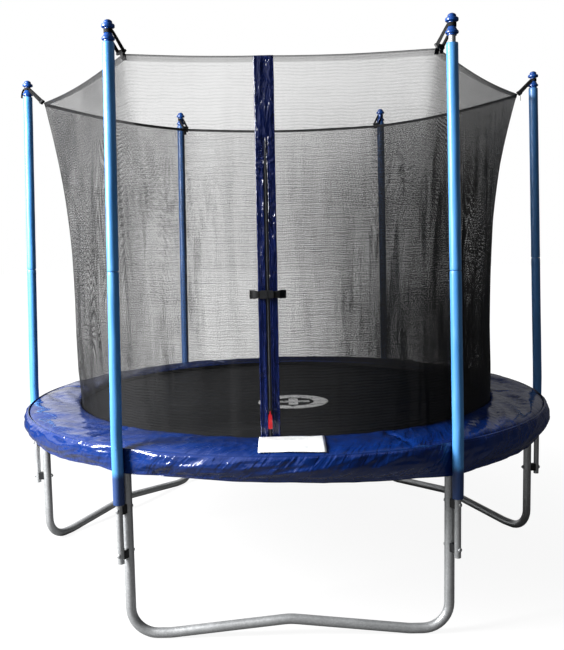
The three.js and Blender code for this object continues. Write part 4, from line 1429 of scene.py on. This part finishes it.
door_heights = np.linspace(NET_BOTTOM + 0.0008, NET_TOP, 421)
flaps = [
    surface(
        door_heights,
        (np.arange(17) / 16)[::hand],
        lambda height, share: flap_point(share, height, hand),
        lambda height, share: (share * DOOR_WIDTH / 2, height - NET_BOTTOM),
        door_vinyl,
    )
    for hand in (-1, 1)
]
door_mesh = modified(joined(*flaps), ("WELD", {"merge_threshold": 0.0002}), wall_step(0.0007))
door_mesh.shade_smooth()
door = piece("door_flaps", door_mesh, HANGING, "door_vinyl", "door_strip")


def zip_nylon(name, low_colour, high_colour):
    """Dyed nylon of tape and coil."""

    def inputs(nodes, place):
        tone = place.noise(90.0)
        return {
            "Base Color": nodes.between(tone, low_colour, high_colour),
            "Roughness": 0.38 + tone * 0.2,
            "Normal": place.noise(900.0).bump(0.0002, 0.4),
        }

    return material(name, inputs)


zip_black = zip_nylon("black zip tape", "08080a", "17181b")
zip_grey = zip_nylon("dark grey zip coil", "24262a", "3b3e43")
tape_places = [
    [Vector((DOOR_X + x, DOOR_BACK - 0.0009, z)) for x in np.linspace(-0.0125, 0.0125, 5)]
    for z in np.linspace(ZIP_BOTTOM - 0.006, ZIP_TOP - 0.01, 60)
]
tape_spots = [[(0.0062 * j, 0.018 * i) for j in range(5)] for i in range(60)]
zip_tape = modified(sheet_mesh(tape_places, tape_spots, zip_black), wall_step(0.0006))
zip_line = [Vector((DOOR_X, TOOTH_FRONT + 0.0011, z)) for z in (ZIP_BOTTOM, ZIP_TOP - 0.012)]
TOOTH_PITCH = 0.0034
teeth = beads_along(
    zip_line, zip_grey, TOOTH_PITCH, 0.0056, 0.0030, TOOTH_PITCH * 0.85, fine=2, turned=False
)
door_zip = piece("door_zip", joined(zip_tape, teeth), HANGING, "black_plastic")
flap_seams = []
for hand in (-1, 1):
    for share, seam_top in ((0.30, ZIP_TOP - 0.02), (0.93, NET_TOP)):
        line = [
            flap_point(share, z, hand) - Vector((0, 0.0008, 0))
            for z in door_heights[2:-2]
            if z < seam_top
        ]
        flap_seams.append(stitched(line, blue_thread, 0.0065, 0.0042, 0.0009))
door_sewing = piece("door_sewing", joined(*flap_seams), HANGING, "door_vinyl")

# ---- Zip slider and pull ----
# A die-cast slider runs on the teeth. Its pin carries a flat red moulded pull that hangs down.

SLIDER_BOTTOM = 0.842
PIN_Z, PIN_Y = SLIDER_BOTTOM + 0.010, -0.988537
slider_front = TOOTH_FRONT - 0.0005


def stood_up(*place):
    """Stands a flat outline up at a place, with its face to the door's front."""
    return Matrix.Translation(place) @ Matrix.Rotation(math.pi / 2, 4, "X")


slider_outline = [
    (-0.0045, 0.0), (0.0045, 0.0), (0.0070, 0.0065), (0.0070, 0.0150), (0.0046, 0.0200),
    (-0.0046, 0.0200), (-0.0070, 0.0150), (-0.0070, 0.0065),
]
on_zip = stood_up(DOOR_X, 0, SLIDER_BOTTOM)
slider_parts = [
    prism(slider_outline, -slider_front, -slider_front + 0.0025, zip_black, 0.0007, on_zip),
    bar_along([(DOOR_X + x, PIN_Y, PIN_Z) for x in (-0.0043, 0.0043)], 0.001, zip_black, sides=12),
]
for h in (-1, 1):
    wing, cheek = box(h * 0.0070, 0.0015, h * 0.0044, 0.0185), h * 0.0043
    cheek = box(cheek - 0.001, 0.006, cheek + 0.001, 0.014)
    wing_back, wing_front = -DOOR_FRONT + 0.0005, -slider_front + 0.0005
    slider_parts += [
        prism(wing, wing_back, wing_front, zip_black, 0.0004, on_zip),
        prism(cheek, -slider_front + 0.001, -PIN_Y + 0.0013, zip_black, 0.0005, on_zip),
    ]
piece("slider_body", joined(*slider_parts), "zip_runner", "black_plastic", "zip_slider")

red_plastic = moulded("red pull plastic", "a8141c", "d4252e", 0.24, 500.0)
pull_outline = [
    *rounded(0.0035, -0.0630, 0.0050, -90, 0),
    *rounded(0.0022, -0.0160, 0.0042, 0, 90),
    *rounded(-0.0022, -0.0160, 0.0042, 90, 180),
    *rounded(-0.0035, -0.0630, 0.0050, 180, 270),
]
pull_neck = [(-0.0026, -0.0130), (0.0026, -0.0130), (0.0022, -0.0018), (-0.0022, -0.0018)]
on_pin = stood_up(DOOR_X, PIN_Y, PIN_Z)
eye = [
    (DOOR_X + 0.0002, PIN_Y + 0.0018 * math.cos(a), PIN_Z + 0.0018 * math.sin(a))
    for a in turns(16)
]
ribs = [
    [(DOOR_X + x, PIN_Y - 0.0012, PIN_Z + z) for x in (-0.0055, 0.0055)]
    for z in np.arange(-0.060, -0.040, 0.004)
]
pull_tab = joined(
    prism(pull_outline, -0.0012, 0.0012, red_plastic, 0.0008, on_pin),
    prism(pull_neck, -0.0010, 0.0010, red_plastic, 0.0005, on_pin),
    bar_along(eye, 0.0006, red_plastic, sides=10, closed=True),
    *(bar_along(rib, 0.0006, red_plastic, sides=8) for rib in ribs),
)
piece("pull_tab_red", pull_tab, "pull_tab", "red_plastic", "zip_pull")

# ---- Buckle ----
# A side-release buckle of black plastic keeps the door shut. Each half is sewn to the net by a
# short strap of flat webbing.

BUCKLE_Z = 1.290
BUCKLE_BACK = PIN_Y - 0.0033
BUCKLE_FRONT = BUCKLE_BACK - 0.009
BUCKLE_MIDDLE = (BUCKLE_BACK + BUCKLE_FRONT) / 2


def across_door(outline, back, front, bevel=0.0012):
    """A solid whose outline lies in the plane of the door, about the buckle's middle."""
    return prism(outline, -back, -front, black_plastic, bevel, stood_up(DOOR_X, 0, BUCKLE_Z))


def buckle_tape(hand, reach):
    """The strap from one half to the net beside the door, and its box of stitches."""
    y_net = DOOR_BACK - 0.001
    middle, net_end = BUCKLE_MIDDLE, 0.058
    line = [
        Vector((DOOR_X + hand * x, y, BUCKLE_Z))
        for x, y in (
            (reach - 0.003, middle), (reach + 0.006, middle), (0.044, middle + 0.0006),
            (0.049, middle + 0.0040), (0.053, y_net - 0.0030), (net_end, y_net),
            (net_end + 0.005, y_net), (net_end + 0.010, y_net),
        )
    ]
    tape = tape_mesh(line, [0.0235, 0.0250, 0.0300, *[0.0320] * 5], (0, 0, hand))
    corners = box(0.0585, -0.014, 0.0670, 0.014)
    seam = [
        Vector((DOOR_X + hand * x, y_net - 0.0011, BUCKLE_Z + z)) for x, z in (*corners, corners[0])
    ]
    return tape, stitched(seam, thread, 0.003, 0.0022, 0.0008)


def mirrored_pair(outline, back, front, bevel):
    """Two solids, above and below the buckle's middle."""
    return [
        across_door([(x, side * z) for x, z in outline], back, front, bevel) for side in (-1, 1)
    ]


socket_outline = [
    (-0.0300, -0.0130), (-0.0270, -0.0155), (-0.0030, -0.0155), (0.0, -0.0135), (0.0, 0.0135),
    (-0.0030, 0.0155), (-0.0270, 0.0155), (-0.0300, 0.0130),
]
lip = [(-0.0040, 0.0152), (0.0, 0.0132), (0.0, 0.0112), (-0.0040, 0.0130)]
inner_back, inner_front = BUCKLE_BACK - 0.001, BUCKLE_FRONT + 0.001
rib_back, rib_front = BUCKLE_FRONT + 0.0004, BUCKLE_FRONT - 0.0004
socket_half = joined(
    across_door(socket_outline, BUCKLE_BACK, BUCKLE_BACK - 0.0022, 0.0008),
    across_door(socket_outline, BUCKLE_FRONT + 0.0022, BUCKLE_FRONT, 0.0010),
    across_door(box(-0.0300, -0.0130, -0.0225, 0.0130), inner_back, inner_front),
    *mirrored_pair(lip, inner_back, inner_front, 0.0004),
    across_door(box(-0.0215, -0.0016, -0.0045, 0.0016), rib_back, rib_front, 0.0003),
    *buckle_tape(-1, 0.030),
)
piece("buckle_socket_half", socket_half, "root", "black_plastic", "buckle_socket")
plug_outline = [
    (0.0003, -0.0140), (0.0190, -0.0140), (0.0220, -0.0115), (0.0220, 0.0115), (0.0190, 0.0140),
    (0.0003, 0.0140),
]
prong = [
    (-0.0190, 0.0095), (-0.0160, 0.0075), (0.0010, 0.0072), (0.0010, 0.0118), (-0.0085, 0.0118),
    (-0.0110, 0.0147), (-0.0160, 0.0147),
]
prong_back, prong_front = BUCKLE_BACK - 0.0028, BUCKLE_FRONT + 0.0028
plug_half = joined(
    across_door(plug_outline, BUCKLE_BACK, BUCKLE_FRONT, 0.0016),
    across_door(box(-0.0190, -0.0022, 0.0010, 0.0022), prong_back, prong_front, 0.0006),
    *mirrored_pair(prong, prong_back, prong_front, 0.0006),
    across_door(box(0.0060, -0.0095, 0.0085, 0.0095), rib_back, rib_front, 0.0003),
    *buckle_tape(1, 0.022),
)
piece("buckle_plug_half", plug_half, "strap_plug", "black_plastic", "buckle_plug")
